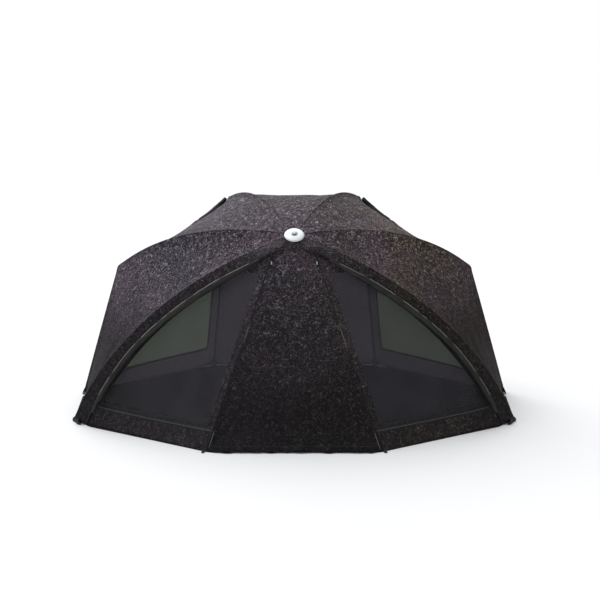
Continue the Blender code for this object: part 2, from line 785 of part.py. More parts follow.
def build_hub(looks, parent):
    cap = [(0, 0.0006), (CAP_R - 0.003, 0.0006), (CAP_R, 0.0025), (CAP_R - 0.004, 0.0066)]
    cap += [(CAP_R * 0.75, 0.0104), (CAP_R * 0.4, CAP_RISE - 0.0006), (SCREW_R + 0.003, CAP_RISE)]
    cap += [(0, CAP_RISE)]
    on_hub(turned("hub_cap", cap, looks["satin"], parent, around=40))
    top = CAP_RISE + GAP
    screw = [(0, top), (SCREW_R, top), (SCREW_R, top + 0.004), (SCREW_R * 0.7, top + 0.006), (0, top + 0.006)]
    on_hub(turned("hub_screw", screw, looks["black"], parent, around=24))
    under = [(0, 0.0003), (0.036, 0.0003), (0.036, -0.034), (0.016, -0.040), (0.016, -0.150), (0, -0.150)]
    on_hub(turned("hub_block", under[::-1], looks["black"], parent, around=24))
    runner = [(0, -0.1503), (0.024, -0.1503), (0.026, -0.156), (0.026, -0.176), (0.018, -0.186), (0, -0.186)]
    on_hub(turned("hub_runner", runner[::-1], looks["black"], parent, around=24))


def build_struts(paths, looks, parent):
    """Straight struts from the runner to the underside of each rib."""
    middle = HUB - 0.166 * hub_axis()
    for place, line in zip(("front", "side", "rear"), paths):
        span = np.linalg.norm(line - HUB, axis=1)
        end = np.array([np.interp(STRUT_REACH, span[:20], line[:20, k]) for k in range(3)])
        near = int(np.argmin(np.abs(span - STRUT_REACH)))
        rib_way = unit(line[near + 1] - line[near - 1])
        out = unit(end - middle)
        flat = out - hub_axis() * (out @ hub_axis())
        start = middle + unit(flat) * (0.026 + 0.0055)
        way = unit(end - start)
        lean = np.linalg.norm(np.cross(way, rib_way))
        clear = TUBE_R + STRUT_R * abs(way @ rib_way) + 2 * GAP
        path = np.array([start, end - way * clear / lean])

        def side(name, turn, place=place, path=path):
            tube(f"{place}_strut_{name}", turn(path), np.full(2, STRUT_R), looks["rib"], parent)

        both_sides(side)


def build_groundsheet(looks, parent):
    """The flat floor between the feet, with its corners cut off beside the shoes."""
    feet = [DOOR_FOOT, FRONT_FOOT, SIDE_FOOT, REAR_FOOT]
    ring = feet + [mirrored(p) for p in feet[::-1]]
    outline = []
    for k, point in enumerate(ring):
        before, after = ring[k - 1], ring[(k + 1) % len(ring)]
        if abs(point[1] - DOOR_FOOT[1]) < 1e-6:
            outline.append(point)
            continue
        back, on = unit(before - point), unit(after - point)
        reach = CORNER_CUT / np.sqrt((1 + back @ on) / 2)
        outline.extend([point + back * reach, point + on * reach])
    centre = np.array([0.0, 0.0, 0.0])
    low = [centre + (p - centre) * 0.998 for p in outline]
    high = [p + np.array([0.0, 0.0, GROUND_T]) for p in low]
    count = len(low)
    faces = [tuple(range(count)), tuple(range(count, 2 * count))]
    faces += [(k, (k + 1) % count, (k + 1) % count + count, k + count) for k in range(count)]
    obj = add_mesh("groundsheet", low + high, faces, looks["floor"], parent, smooth=False)
    face_out(obj.data)


def build_zips(infill, looks, parent):
    """A slider on each door zip, and the pull tab that hangs from it on a pin across the zip."""
    slope = np.array([0.0, DOOR_FOOT[1] - DOOR_HEAD[1], -DOOR_HEAD[2]])
    down = unit(slope)
    out = np.array([0.0, down[2], -down[1]])
    tilt = -np.arctan2(-down[1], -down[2])
    seat = zip_line(np.array([ZIP_TOP_Z]))[0]

    def side(name, turn):
        slider = turn(seat + out * (2 * GAP + 0.0019))
        block(f"zip_slider_{name}", slider, (0.009, 0.0038, 0.016), looks["black"], parent, tilt)
        tab = turn(seat + out * PULL_LIFT + down * (PULL_LENGTH / 2 - 0.0010))
        block(f"zip_pull_{name}", tab, (0.011, 0.0025, PULL_LENGTH), looks["black"], parent, tilt)

    both_sides(side)


def main():
    clear_scene()
    looks = {
        "camo": material("camo_fabric", CAMO, 0.85),
        "dark": material("camo_band", CAMO_DARK, 0.85),
        "mesh": material("fine_mesh", MESH_GREY, 0.9),
        "lining": material("rolled_lining", LINING, 0.7),
        "black": material("black_plastic", BLACK, 0.5),
        "satin": material("satin_silver", SATIN, 0.35, 0.6),
        "rib": material("rib_metal", RIB_GREY, 0.45, 0.8),
        "floor": material("groundsheet_fabric", FLOOR_DARK, 0.75),
    }
    parent = bpy.data.objects.new("shelter", None)
    bpy.context.collection.objects.link(parent)
    canopy = Canopy()
    infill = Infill(canopy)
    build_canopy(canopy, infill, looks, parent)
    build_infill(infill, looks, parent)
    build_rear_rolls(canopy, looks, parent)
    paths = frame_paths(canopy, infill)
    build_frame(paths, looks, parent)
    build_struts(paths, looks, parent)
    build_hub(looks, parent)
    build_groundsheet(looks, parent)
    build_zips(infill, looks, parent)


main()
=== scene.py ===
"""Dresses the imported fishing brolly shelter: stretched camouflage fabric, mesh windows, zips and fittings."""

from functools import lru_cache
from math import cos, pi, radians, sin

import bmesh
import bpy
import numpy as np
from bpy.props import FloatProperty, FloatVectorProperty, PointerProperty
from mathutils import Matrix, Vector, noise
from mathutils.bvhtree import BVHTree


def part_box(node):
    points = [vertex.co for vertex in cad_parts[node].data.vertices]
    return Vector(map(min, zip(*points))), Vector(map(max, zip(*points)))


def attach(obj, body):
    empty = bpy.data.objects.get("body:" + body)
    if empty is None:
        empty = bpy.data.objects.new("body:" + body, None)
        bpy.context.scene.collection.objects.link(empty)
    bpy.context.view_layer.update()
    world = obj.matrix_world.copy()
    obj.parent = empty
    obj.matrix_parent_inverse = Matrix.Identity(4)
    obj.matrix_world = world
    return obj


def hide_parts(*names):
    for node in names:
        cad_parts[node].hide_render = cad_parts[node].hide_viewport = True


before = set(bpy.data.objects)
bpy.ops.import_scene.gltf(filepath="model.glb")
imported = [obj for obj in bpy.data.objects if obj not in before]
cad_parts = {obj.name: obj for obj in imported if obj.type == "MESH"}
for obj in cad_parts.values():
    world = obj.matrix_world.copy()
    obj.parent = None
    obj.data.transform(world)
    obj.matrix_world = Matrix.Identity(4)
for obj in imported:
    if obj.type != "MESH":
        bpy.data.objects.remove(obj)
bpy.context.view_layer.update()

bl_info = {
    "name": "Fishing Brolly Shelter",
    "version": (1, 0, 0),
    "blender": (4, 5, 0),
    "location": "3D View > Sidebar > Brolly",
    "description": "Dresses the packed frame of a brolly shelter with fabric, mesh, zips and fittings",
    "category": "Object",
}

SHELTER = "shelter"
TURN = 2 * pi

# The lines of the frame on the right side, as the solids have them.
HUB = np.array([0.0, -0.4325, 1.07])
HUB_TILT = radians(36.0)
RING_R = 0.045
FRONT_FOOT = np.array([1.265, -0.4475, 0.0])
FRONT_BOW = np.array([0.9425, -0.4425, 0.72])
SIDE_ELBOW = np.array([1.095, 0.1175, 0.83])
SIDE_BOW = np.array([0.68, -0.158, 1.15])
SIDE_FOOT = np.array([1.365, 0.2075, 0.0])
REAR_ELBOW = np.array([0.43, 0.4375, 1.24])
REAR_BOW = np.array([0.22, 0.02, 1.37])
REAR_FOOT = np.array([0.60, 0.9175, 0.0])
FRONT_ANGLE = radians(-12.6)
SIDE_ANGLE = radians(23.0)
REAR_ANGLE = radians(65.0)
LEG_BOW = 0.002
LEG_BOW_BACK = 0.3
ELBOW_AT = 0.5
FRONT_MATCH = 0.55

# The stretched panels between them.
FRONT_SAG = 0.5
REAR_SAG = 0.1
BACK_SAG = 0.02
FINE_ROWS = 41
FINE_COLS = 25
RELAX_ROUNDS = 500
CAD_FABRIC = 0.003
HEM_Z = 0.0036
HEM_LIFT = 0.040
HEM_NOTCH = 0.030
DOOR_FOOT = np.array([0.445, -0.9175, 0.0])
DOOR_HEAD = np.array([0.1065, -0.4812, 1.003])
FORWARD = np.array([0.3, -1.0, 0.4])
INSIDE = np.array([0.0, 0.1, 0.5])

# The band along the front rim, and its lip under the hub.
VALANCE_W = 0.060
VALANCE_FOOT_W = 0.085
VALANCE_LIFT = 0.0045
LIP_END = np.array([0.0, -0.500, 0.999])
LIP_SPREAD = 1.27
LIP_BLEND = 0.2
LIP_LIFT = 0.018
LIP_CLOSED = 0.075
LIP_SEAT = 0.0022

# How each panel is cut into cells, and how far its pulled corners crease.
GORE_ROWS = 160
MIDDLE = GORE_ROWS // 2
REAR_BORDER = 0.07
REAR_COUNTS = (8, 46, 8)
REAR_WINDOW_ROWS = (86, 150)
BORDER_LIMIT = 0.38
WING_WINDOW_TOP = 0.125
WING_WINDOW_FOOT = 0.886
WING_ROW_COUNTS = (10, 72, 16)
WING_WINDOW_ROWS = (WING_ROW_COUNTS[0], WING_ROW_COUNTS[0] + WING_ROW_COUNTS[1])
ZIP_BORDER = 0.045
ROLL_BORDER = 0.105
WING_COUNTS = (6, 44, 12)
SKIRT_ZIP_ROW = WING_WINDOW_ROWS[1] + 3

# Each panel's seed, the height of its slack waves, and the folds that fan out of its pulled corners: the
# row and column of the corner, then the folds' depth, count and reach.
PANELS = {
    "front": (1.0, 0.0034, (
        (MIDDLE, -1, 0.0048, 9.0, 0.30), (-1, -1, 0.0030, 8.0, 0.22), (-1, 0, 0.0032, 8.0, 0.22),
        (0, 30, 0.0022, 8.0, 0.20),
    )),
    "rear": (2.0, 0.0028, (
        (MIDDLE, 0, 0.0040, 9.0, 0.28), (MIDDLE, -1, 0.0036, 9.0, 0.26), (-1, 0, 0.0026, 8.0, 0.20),
        (-1, -1, 0.0026, 8.0, 0.20),
    )),
    "back": (3.0, 0.0028, (
        (MIDDLE, 0, 0.0034, 8.0, 0.30), (MIDDLE, -1, 0.0034, 8.0, 0.30), (-1, 0, 0.0026, 8.0, 0.22),
        (-1, -1, 0.0026, 8.0, 0.22),
    )),
    "wing": (4.0, 0.0024, (
        (-1, -1, 0.0090, 11.0, 0.24), (sum(WING_ROW_COUNTS) // 2, -1, 0.0036, 9.0, 0.20),
        (-1, 0, 0.0018, 7.0, 0.14),
    )),
    "door": (5.0, 0.0030, (
        (-1, 0, 0.0022, 8.0, 0.22), (-1, -1, 0.0022, 8.0, 0.22), (0, 30, 0.0016, 9.0, 0.20),
    )),
}

# Hems, seams, bindings and netting.
HEM_FOLD = 0.028
HEM_FLARE = 0.014
HEM_FLARE_H = 0.12
DOOR_CREASE_Z = 0.62
DOOR_CREASE_W = 0.006
DOOR_CREASE_RISE = 0.0014
DOOR_HEM_LIFT = 0.0030
DOOR_HEM_H = 0.05
HEM_RISE = 0.0007
CALM_SIDE = 0.06
CALM_TOP = 0.05
GATHER_RISE = 0.0007
GATHER_PITCH = 0.034
GATHER_REACH = 0.022
SEAM_HALF = 0.009
SEAM_T = 0.0010
SEAM_UNDER = 0.0004
BINDING_START = 0.055
MESH_T = 0.0006
MESH_DROP = 0.0015
LEAST_CUT = 0.301

# Each strap's finish, half width, thickness and lift off the cloth.
STRAPS = {
    "rear_window_binding": ("canopy_camouflage", 0.0045, 0.0010, 0.0002),
    "wing_window_binding": ("wing_camouflage", 0.0070, 0.0010, 0.0002),
    "skirt_zip_tape": ("black_binding", 0.0130, 0.0009, 0.0003),
    "skirt_zip_coil": ("skirt_zip_coil", 0.0034, 0.0022, 0.0010),
    "valance_binding": ("black_binding", 0.0050, 0.0010, 0.0),
    "door_hem_stitching": ("black_binding", 0.0018, 0.0004, 0.0),
    "door_zip_flap": ("infill_camouflage", 0.0125, 0.0010, 0.0006),
    "door_zip_coil": ("zip_coil", 0.0030, 0.0016, 0.0008),
    "cover_edge_tape": ("edge_piping", 0.0017, 0.0009, 0.0),
    "peg_loop": ("black_binding", 0.0075, 0.0008, 0.0),
}

# Each point of a strap's outline: how far across, in half widths, and how far up, in thicknesses.
STRAP_PROFILE = (
    (-1, 0.15), (-0.92, 0.75), (-0.5, 1), (0.5, 1), (0.92, 0.75), (1, 0.15), (0.9, -0.2), (-0.9, -0.2),
)
TIE_PROFILE = (
    (-0.0065, 0.0), (-0.0062, 0.0011), (0.0062, 0.0011), (0.0065, 0.0), (0.0055, -0.0006),
    (-0.0055, -0.0006),
)

# Zips, and the rolled covers with their ties. Painted glints on the door's coils are heights and reaches.
ZIP_TOP_Z = 0.953
ZIP_FOOT_Z = 0.012
ZIP_GLINTS = {"left": ((0.575, 0.045), (0.058, 0.036)), "right": ((0.548, 0.055), (0.050, 0.042))}
PULL_LIFT = 0.0064
SLIDER_SIZE = (0.0105, 0.0044, 0.0150)
SLIDER_LIFT = 0.0026
BAIL_REACH = 0.0050
BAIL_RISE = 0.0022
BAIL_R = 0.0008
GRIP_SIZE = (0.0105, 0.0034, 0.0250)
GRIP_DROP = 0.0215
PULL_CORD_R = 0.0011
TIP_SIZE = (0.0072, 0.0042, 0.0200)
TIP_DROP = 0.0300
FRONT_ROLL_R = 0.019
REAR_ROLL_R = 0.018

# Where each roll's radius changes, from 0 to 1 along it, and the radii there.
FRONT_ROLL_TAPER = (0, 0.16, 0.9, 1), (0.0078, FRONT_ROLL_R, 0.017, 0.010)
REAR_ROLL_TAPER = (0, 0.08, 0.92, 1), (0.011, REAR_ROLL_R, REAR_ROLL_R, 0.011)
FRONT_ROLL_SLIM = 0.97
REAR_ROLL_SLOPE = 0.85
ROLL_START = 0.088
ROLL_END = 0.93
ROLL_TIES = (0.30, 0.72)
ROLL_AROUND = 36
PIPING_END = 0.90

# Hub cap, shoes, boots and groundsheet.
CAP_R = 0.0555
CAP_RISE = 0.0125
SCREW_R = 0.013
BOOT_R = 0.0192
BOOT_LIFT = 0.0026
BOOT_REACH = 0.070
BOOT_SPREAD = 0.034
BOOT_BEND = 0.042
BOOT_H = 0.050
BOOT_END_H = 0.013
BOOT_FOOT = 0.0006
BOOT_T = 0.0012
CORNER_CUT = 0.052
GROUND_CLOTH = 0.0014

# Light and camera.
FLOOR_SIZE = 30.0
FLOOR_DROP = 0.0005
CAMERA_SHIFT = 0.0095
SENSOR_W = 36.0
WORLD_LIGHT = 0.45
WORLD_TINT = (0.93, 0.96, 1.0)
SKY_ANGLE = radians(80)
SKY_LIGHT = 3.0
SKY_TILT = (radians(-20), radians(-22), 0.0)
LIGHT_IN_CLOTH = (0.80, 0.76, 0.80)
# How much painted side light the camouflage takes: lighter on one side, darker on the other.
PAINTED_SIDE_LIGHT = 0.15


# Small vector helpers


def unit(v):
    return v / np.maximum(np.linalg.norm(v, axis=-1, keepdims=True), 1e-12)


def as_built(points):
    return points


def mirrored(points):
    return points * np.array([-1.0, 1.0, 1.0])


SIDES = (("right", as_built), ("left", mirrored))


def even(cells):
    return np.linspace(0, 1, cells + 1)


def full_turn(steps):
    return np.arange(steps) * TURN / steps


def between(a, b, share):
    return a * (1 - share) + b * share


def bell(off, reach):
    """1 at the middle, and almost 0 at twice the reach."""
    return np.exp(-((off / reach) ** 2))


def smooth_step(x):
    x = np.clip(x, 0, 1)
    return x * x * (3 - 2 * x)


def bezier(a, b, c, t):
    t = np.asarray(t)[:, None]
    return a * (1 - t) ** 2 + b * 2 * t * (1 - t) + c * t**2


def along_line(line, at, steps=None):
    """The line's points at places on the scale of its steps, which are even from 0 to 1 by default."""
    steps = np.linspace(0, 1, len(line)) if steps is None else steps
    return np.stack([np.interp(at, steps, part) for part in line.T], axis=-1)


def distances(grid, axis=0):
    """How far each point of a line or a grid lies along one of its axes."""
    steps = np.linalg.norm(np.diff(grid, axis=axis), axis=-1)
    return np.concatenate([steps.take([0], axis) * 0, np.cumsum(steps, axis=axis)], axis=axis)


def spans(grid, axis):
    """The whole length of each row, for axis 1, or of each column, for axis 0."""
    return np.linalg.norm(np.diff(grid, axis=axis), axis=2).sum(axis=axis)


def smoothed(path, rounds=12):
    out = path.copy()
    for _ in range(rounds):
        out[1:-1] = (out[:-2] + 2 * out[1:-1] + out[2:]) / 4
    return out


def wandering(points, scale, seed):
    """Smooth noise from -1 to 1 at each point."""
    flat = points.reshape(-1, 3) * scale + np.array([seed * 7.3, seed * 3.1, seed * 5.7])
    return np.array([noise.noise(Vector(p)) for p in flat]).reshape(points.shape[:-1])


# The frame's lines


def ring_point(angle):
    up = np.array([0.0, cos(HUB_TILT), sin(HUB_TILT)])
    return HUB + RING_R * (np.array([1.0, 0.0, 0.0]) * cos(angle) + up * sin(angle))


def bent_rib(start, bow, elbow, foot, t):
    """Hub to elbow over the first part of t, then elbow to foot, with a slight outward bow in the leg."""
    t = np.asarray(t)
    arm = bezier(start, bow, elbow, np.clip(t / ELBOW_AT, 0, 1))
    s = np.clip((t - ELBOW_AT) / (1 - ELBOW_AT), 0, 1)[:, None]
    out = unit(np.array([foot[0], foot[1] - HUB[1] - LEG_BOW_BACK, 0.0]))
    leg = between(elbow, foot, s) + out * LEG_BOW * 4 * s * (1 - s)
    return np.where((t > ELBOW_AT)[:, None], leg, arm)


def front_rib(t):
    return bezier(ring_point(FRONT_ANGLE), FRONT_BOW, FRONT_FOOT, t)


def side_rib(t):
    return bent_rib(ring_point(SIDE_ANGLE), SIDE_BOW, SIDE_ELBOW, SIDE_FOOT, t)


def rear_rib(t):
    return bent_rib(ring_point(REAR_ANGLE), REAR_BOW, REAR_ELBOW, REAR_FOOT, t)


def front_match(t):
    """Where on the front rib the side rib's t is sewn opposite."""
    return np.interp(t, [0.0, ELBOW_AT, 1.0], [0.0, FRONT_MATCH, 1.0])


def to_hem(rib, t):
    """The rib line cut off at the raised hem corner, with the elbow still halfway."""
    steps = np.linspace(0.7, 1, 200)
    end = float(np.interp(-HEM_LIFT, -rib(steps)[:, 2], steps))
    return rib(np.interp(t, [0.0, ELBOW_AT, 1.0], [0.0, ELBOW_AT, end]))


def zip_line(z):
    down = (DOOR_HEAD[2] - z) / DOOR_HEAD[2]
    return between(DOOR_HEAD, DOOR_FOOT, down[:, None])


def rib_at_height(z):
    t = np.linspace(0, 1, 400)
    return front_rib(np.interp(-z, -front_rib(t)[:, 2], t))


# Stretched surfaces


def coons(top, bottom, left, right):
    u = np.linspace(0, 1, len(left))[:, None, None]
    v = np.linspace(0, 1, len(top))[None, :, None]
    ruled = (1 - u) * top[None] + u * bottom[None] + (1 - v) * left[:, None] + v * right[:, None]
    corners = (1 - u) * ((1 - v) * top[0] + v * top[-1]) + u * ((1 - v) * bottom[0] + v * bottom[-1])
    return ruled - corners


def membrane(top, bottom, left, right, sag=1.0):
    """The sheet between four lines, from straight across at sag 0 to fully relaxed at sag 1."""
    straight = coons(top, bottom, left, right)
    grid = straight.copy()
    for _ in range(RELAX_ROUNDS):
        around = grid[:-2, 1:-1] + grid[2:, 1:-1] + grid[1:-1, :-2] + grid[1:-1, 2:]
        grid[1:-1, 1:-1] = around / 4
    return between(straight, grid, sag)


def hem_line(a, b):
    """From foot to foot along the ground, with a notch up to each rib's shoe."""
    v = even(FINE_COLS - 1)
    line = between(a, b, v[:, None])
    off = np.minimum(v, 1 - v) * np.linalg.norm(b - a)
    line[:, 2] = HEM_Z + (HEM_LIFT - HEM_Z) * bell(off, HEM_NOTCH)
    return line


def gore_surface(left, right, angle_a, angle_b, sag):
    ring = np.array([ring_point(angle) for angle in np.linspace(angle_a, angle_b, FINE_COLS)])
    return membrane(ring, hem_line(left[-1], right[-1]), left, right, sag)


def wing_surface(u, edge):
    """From the door's zip to the edge, with its hem on the ground and a notch at the front shoe."""
    zips = zip_line(DOOR_HEAD[2] + (HEM_Z - DOOR_HEAD[2]) * u)
    a, b = zips[-1], edge[-1]
    v = even(FINE_COLS - 1)[:, None]
    hem = between(a, b, v)
    off = (1 - v[:, 0]) * np.linalg.norm(b - a)
    hem[:, 2] = HEM_Z + (b[2] - HEM_Z) * bell(off, HEM_NOTCH)
    return membrane(between(zips[0], edge[0], v), hem, zips, edge)


def cubic_along(grid, at):
    """The first axis of grid read at positions from 0 to 1, on one smooth curve through its points."""
    last = grid.shape[0] - 1
    x = np.clip(at, 0, 1) * last
    i = np.minimum(x.astype(int), last - 1)
    f = (x - i).reshape((-1,) + (1,) * (grid.ndim - 1))
    weights = (
        ((-f + 2) * f - 1) * f / 2,
        ((3 * f - 5) * f) * f / 2 + 1,
        ((-3 * f + 4) * f + 1) * f / 2,
        (f - 1) * f * f / 2,
    )
    padded = np.concatenate([2 * grid[:1] - grid[1:2], grid, 2 * grid[-1:] - grid[-2:-1]])
    return sum(weight * padded[i + k] for k, weight in enumerate(weights))


def refined(grid, rows, cols):
    """The surface at the given row and column parameters, smoothly curved between its points."""
    return np.swapaxes(cubic_along(np.swapaxes(cubic_along(grid, rows), 0, 1), cols), 0, 1)


def normals(grid, outward):
    n = unit(np.cross(np.gradient(grid, axis=0), np.gradient(grid, axis=1)))
    return n if (n * outward).sum() > 0 else -n


class Shape:
    """Every stretched surface of the right half, and across the back and the door."""

    def __init__(self):
        u = even(FINE_ROWS - 1)
        front = to_hem(front_rib, front_match(u))
        side, rear = to_hem(side_rib, u), to_hem(rear_rib, u)
        self.front = gore_surface(front, side, FRONT_ANGLE, SIDE_ANGLE, FRONT_SAG)
        self.rear = gore_surface(side, rear, SIDE_ANGLE, REAR_ANGLE, REAR_SAG)
        self.back = gore_surface(rear, mirrored(rear), REAR_ANGLE, pi - REAR_ANGLE, BACK_SAG)
        ridge = rib_at_height(DOOR_HEAD[2] + (HEM_LIFT - DOOR_HEAD[2]) * u)
        wing_n = normals(wing_surface(u, ridge), FORWARD)[:, -1]
        gore_n = unit(np.cross(unit(np.gradient(ridge, axis=0)), [0.0, -1.0, 0.0]))
        gore_n *= np.sign(gore_n[:, 2:3])
        edge = ridge - VALANCE_LIFT * wing_n - (CAD_FABRIC + VALANCE_LIFT / 2) * gore_n
        self.wing = wing_surface(u, edge)
        zips = self.wing[:, 0]
        self.door = between(mirrored(zips)[:, None], zips[:, None], even(FINE_COLS - 1)[None, :, None])
        self.infill = surface_tree(self.wing, self.door)


@lru_cache(maxsize=None)
def shape():
    return Shape()


def surface_tree(*grids):
    points, faces = [], []
    for grid in grids:
        rows, cols = grid.shape[:2]
        number = len(points) + np.arange(rows * cols).reshape(rows, cols)
        points.extend(Vector(p) for p in grid.reshape(-1, 3))
        cells = np.stack([number[:-1, :-1], number[1:, :-1], number[1:, 1:], number[:-1, 1:]], axis=-1)
        faces.extend(cells.reshape(-1, 4).tolist())
    return BVHTree.FromPolygons(points, faces)


def on_infill(points, height):
    """The infill's nearest points, raised above it, and its normals there."""
    places, outs = [], []
    for point in points.reshape(-1, 3):
        place, normal, _, _ = shape().infill.find_nearest(Vector(point))
        out = np.array(normal) * (1 if normal[1] < 0 else -1)
        places.append(np.array(place) + out * height)
        outs.append(out)
    return np.array(places).reshape(points.shape), np.array(outs).reshape(points.shape)


# Mesh making


def add_object(name, data, location=(0.0, 0.0, 0.0), rotation=(0.0, 0.0, 0.0)):
    obj = bpy.data.objects.new(name, data)
    obj.location = location
    obj.rotation_euler = rotation
    bpy.context.collection.objects.link(obj)
    return obj


def make_object(name, points, faces, finish, body=SHELTER):
    """A smooth closed mesh with its faces turned outwards, riding on a body."""
    mesh = bpy.data.meshes.new(name)
    mesh.from_pydata([tuple(p) for p in points], [], faces)
    mesh.materials.append(look(finish))
    mesh.polygons.foreach_set("use_smooth", [True] * len(mesh.polygons))
    obj = add_object(name, mesh)
    bm = bmesh.new()
    bm.from_mesh(mesh)
    bmesh.ops.recalc_face_normals(bm, faces=bm.faces)
    if bm.calc_volume(signed=True) < 0:
        bmesh.ops.reverse_faces(bm, faces=bm.faces)
    bm.to_mesh(mesh)
    bm.free()
    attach(obj, body)
    return obj


def fitted(piece, node=None):
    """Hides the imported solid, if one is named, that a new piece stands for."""
    if node:
        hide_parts(node)
    return piece


def store(obj, name, values):
    """A named number for each vertex, which a material reads for threads, for painted shade at the lap of a
    roll and for painted glints on the zips.
    """
    layer = obj.data.attributes.new(name, "FLOAT", "POINT")
    layer.data.foreach_set("value", np.asarray(values, dtype=np.float32).ravel())


def sheet_mesh(name, outer, outs, finish, thickness, keep=None):
    """A closed sheet under the outer grid, with the cells of keep only."""
    rows, cols = outer.shape[:2]
    if keep is None:
        keep = np.ones((rows - 1, cols - 1), bool)
    count = rows * cols
    number = np.arange(count).reshape(rows, cols)
    a, b = number[:-1, :-1][keep], number[1:, :-1][keep]
    c, d = number[1:, 1:][keep], number[:-1, 1:][keep]
    top = np.stack([a, b, c, d], axis=1)
    padded = np.zeros((rows + 1, cols + 1), bool)
    padded[1:-1, 1:-1] = keep
    walls = []
    for (up, on), p, q in (((0, -1), a, b), ((1, 0), b, c), ((0, 1), c, d), ((-1, 0), d, a)):
        beside = padded[1 + up : rows + up, 1 + on : cols + on][keep]
        walls.append(np.stack([q, p, p + count, q + count], axis=1)[~beside])
    faces = np.concatenate([top, top[:, ::-1] + count, *walls])
    points = np.concatenate([outer.reshape(-1, 3), (outer - outs * thickness).reshape(-1, 3)])
    used, faces = np.unique(faces, return_inverse=True)
    return make_object(name, points[used], faces.reshape(-1, 4).tolist(), finish)


def spokes(path, around):
    """Directions that fan out round each point of a path, turning with it as little as possible."""
    tangents = unit(np.gradient(path, axis=0))
    side = unit(np.cross(tangents[0], [0.0, 0.3, 1.0]))
    sides = []
    for tangent in tangents:
        side = unit(side - tangent * (side @ tangent))
        sides.append(side)
    angles = full_turn(around)[None, :, None]
    return np.cos(angles) * np.array(sides)[:, None] + np.sin(angles) * np.cross(tangents, sides)[:, None]


def ring_mesh(name, rings, finish, body=SHELTER, loop=False):
    """A closed skin over rings of points, each ring one row; a loop joins the last ring to the first."""
    count, around = rings.shape[:2]
    i = np.arange(count if loop else count - 1)[:, None]
    k = np.arange(around)[None]
    n = (k + 1) % around
    here, there = i * around, (i + 1) % count * around
    faces = np.stack([here + k, here + n, there + n, there + k], axis=-1).reshape(-1, 4).tolist()
    if not loop:
        last = (count - 1) * around
        faces += [list(range(around)), list(range(last, last + around))]
    return make_object(name, rings.reshape(-1, 3), faces, finish, body)


def tube(name, path, radius, finish, around, body=SHELTER):
    """A round tube along a path; radius is one number or one for each point."""
    radii = np.broadcast_to(radius, len(path))[:, None, None]
    return ring_mesh(name, path[:, None] + radii * spokes(path, around), finish, body)


def strap(kind, label, turn, path, across, outs, finish=None):
    """Webbing or tape along a path, slightly crowned, with its own along and across numbers."""
    usual, half_width, thickness, lift = STRAPS[kind]
    wide = across * half_width
    rings = [path + wide * side + outs * (lift + thickness * up) for side, up in STRAP_PROFILE]
    obj = ring_mesh(f"{kind}_{label}".rstrip("_"), turn(np.stack(rings, axis=1)), finish or usual)
    store(obj, "along", np.repeat(distances(path), len(STRAP_PROFILE)))
    store(obj, "across", np.tile([side * half_width for side, _ in STRAP_PROFILE], len(path)))
    return obj


def turned(name, profile, finish, around):
    """A solid of revolution about local Z from (radius, height) pairs that start and end on the axis."""
    points = [(0.0, 0.0, profile[0][1])]
    for radius, height in profile[1:-1]:
        points.extend((radius * cos(a), radius * sin(a), height) for a in full_turn(around))
    points.append((0.0, 0.0, profile[-1][1]))
    rings = len(profile) - 2
    faces = []
    for k in range(around):
        n = (k + 1) % around
        faces.append((0, 1 + n, 1 + k))
        for a in range(1, 1 + (rings - 1) * around, around):
            faces.append((a + k, a + n, a + around + n, a + around + k))
        top = 1 + (rings - 1) * around
        faces.append((top + k, top + n, len(points) - 1))
    return make_object(name, points, faces, finish)


def moulded_block(name, centre, way, out, size, finish, body=SHELTER, waist=1.0):
    """A small block that lies along way, with rounded edges and, if asked, a narrower middle."""
    side = unit(np.cross(way, out))
    width, height, length = (part / 2 for part in size)
    rings = []
    for share in np.linspace(-1, 1, 13):
        narrow = 1 - (1 - waist) * (1 - share**2)
        end = np.sqrt(max(0.0, 1 - max(0.0, abs(share) - 0.8) ** 2 / 0.045))
        corners = []
        for angle in full_turn(20):
            x, y = (np.sign(v) * abs(v) ** 0.55 for v in (cos(angle), sin(angle)))
            across = side * width * x * narrow * end
            corners.append(centre + way * length * share + across + out * height * y * end)
        rings.append(corners)
    return ring_mesh(name, np.array(rings), finish, body)


def declare_sheet(grid, keep):
    """Works out what flat cloth the piece was cut from: its widest row, middle column and true area, which it
    does not keep.
    """
    a, b = grid[1:, 1:] - grid[:-1, :-1], grid[1:, :-1] - grid[:-1, 1:]
    cells = np.linalg.norm(np.cross(a, b), axis=2) / 2
    area = float(cells.sum() if keep is None else cells[keep].sum())
    flat = (float(spans(grid, 1).max()), float(np.median(spans(grid, 0))))
    whole = flat[0] * flat[1]
    area = min(max(area, LEAST_CUT * whole), whole)


# Fabric relief


def creases(points, anchor, depth, count, phase, reach):
    """Folds that fan out of a pulled corner, deepest a little way off and fading with distance."""
    off = points - anchor
    distance = np.linalg.norm(off, axis=-1)
    axis = unit(points.reshape(-1, 3).mean(axis=0) - anchor)
    side = unit(np.cross(axis, [0.13, 0.29, 0.95]))
    angle = np.arctan2(off @ side, off @ axis)
    near = distance / reach
    fade = near * np.exp(1 - near) * smooth_step(distance / (0.4 * reach))
    wave = np.cos(count * angle + phase) * 0.6 + np.cos(2.3 * count * angle + 2 * phase) * 0.4
    return depth * fade * wave


def edge_distance(grid):
    """How far each point lies from its row's nearer end, and from its column's top and foot."""
    across, down = distances(grid, 1), distances(grid, 0)
    return np.minimum(across, across[:, -1:] - across), down, down[-1:] - down


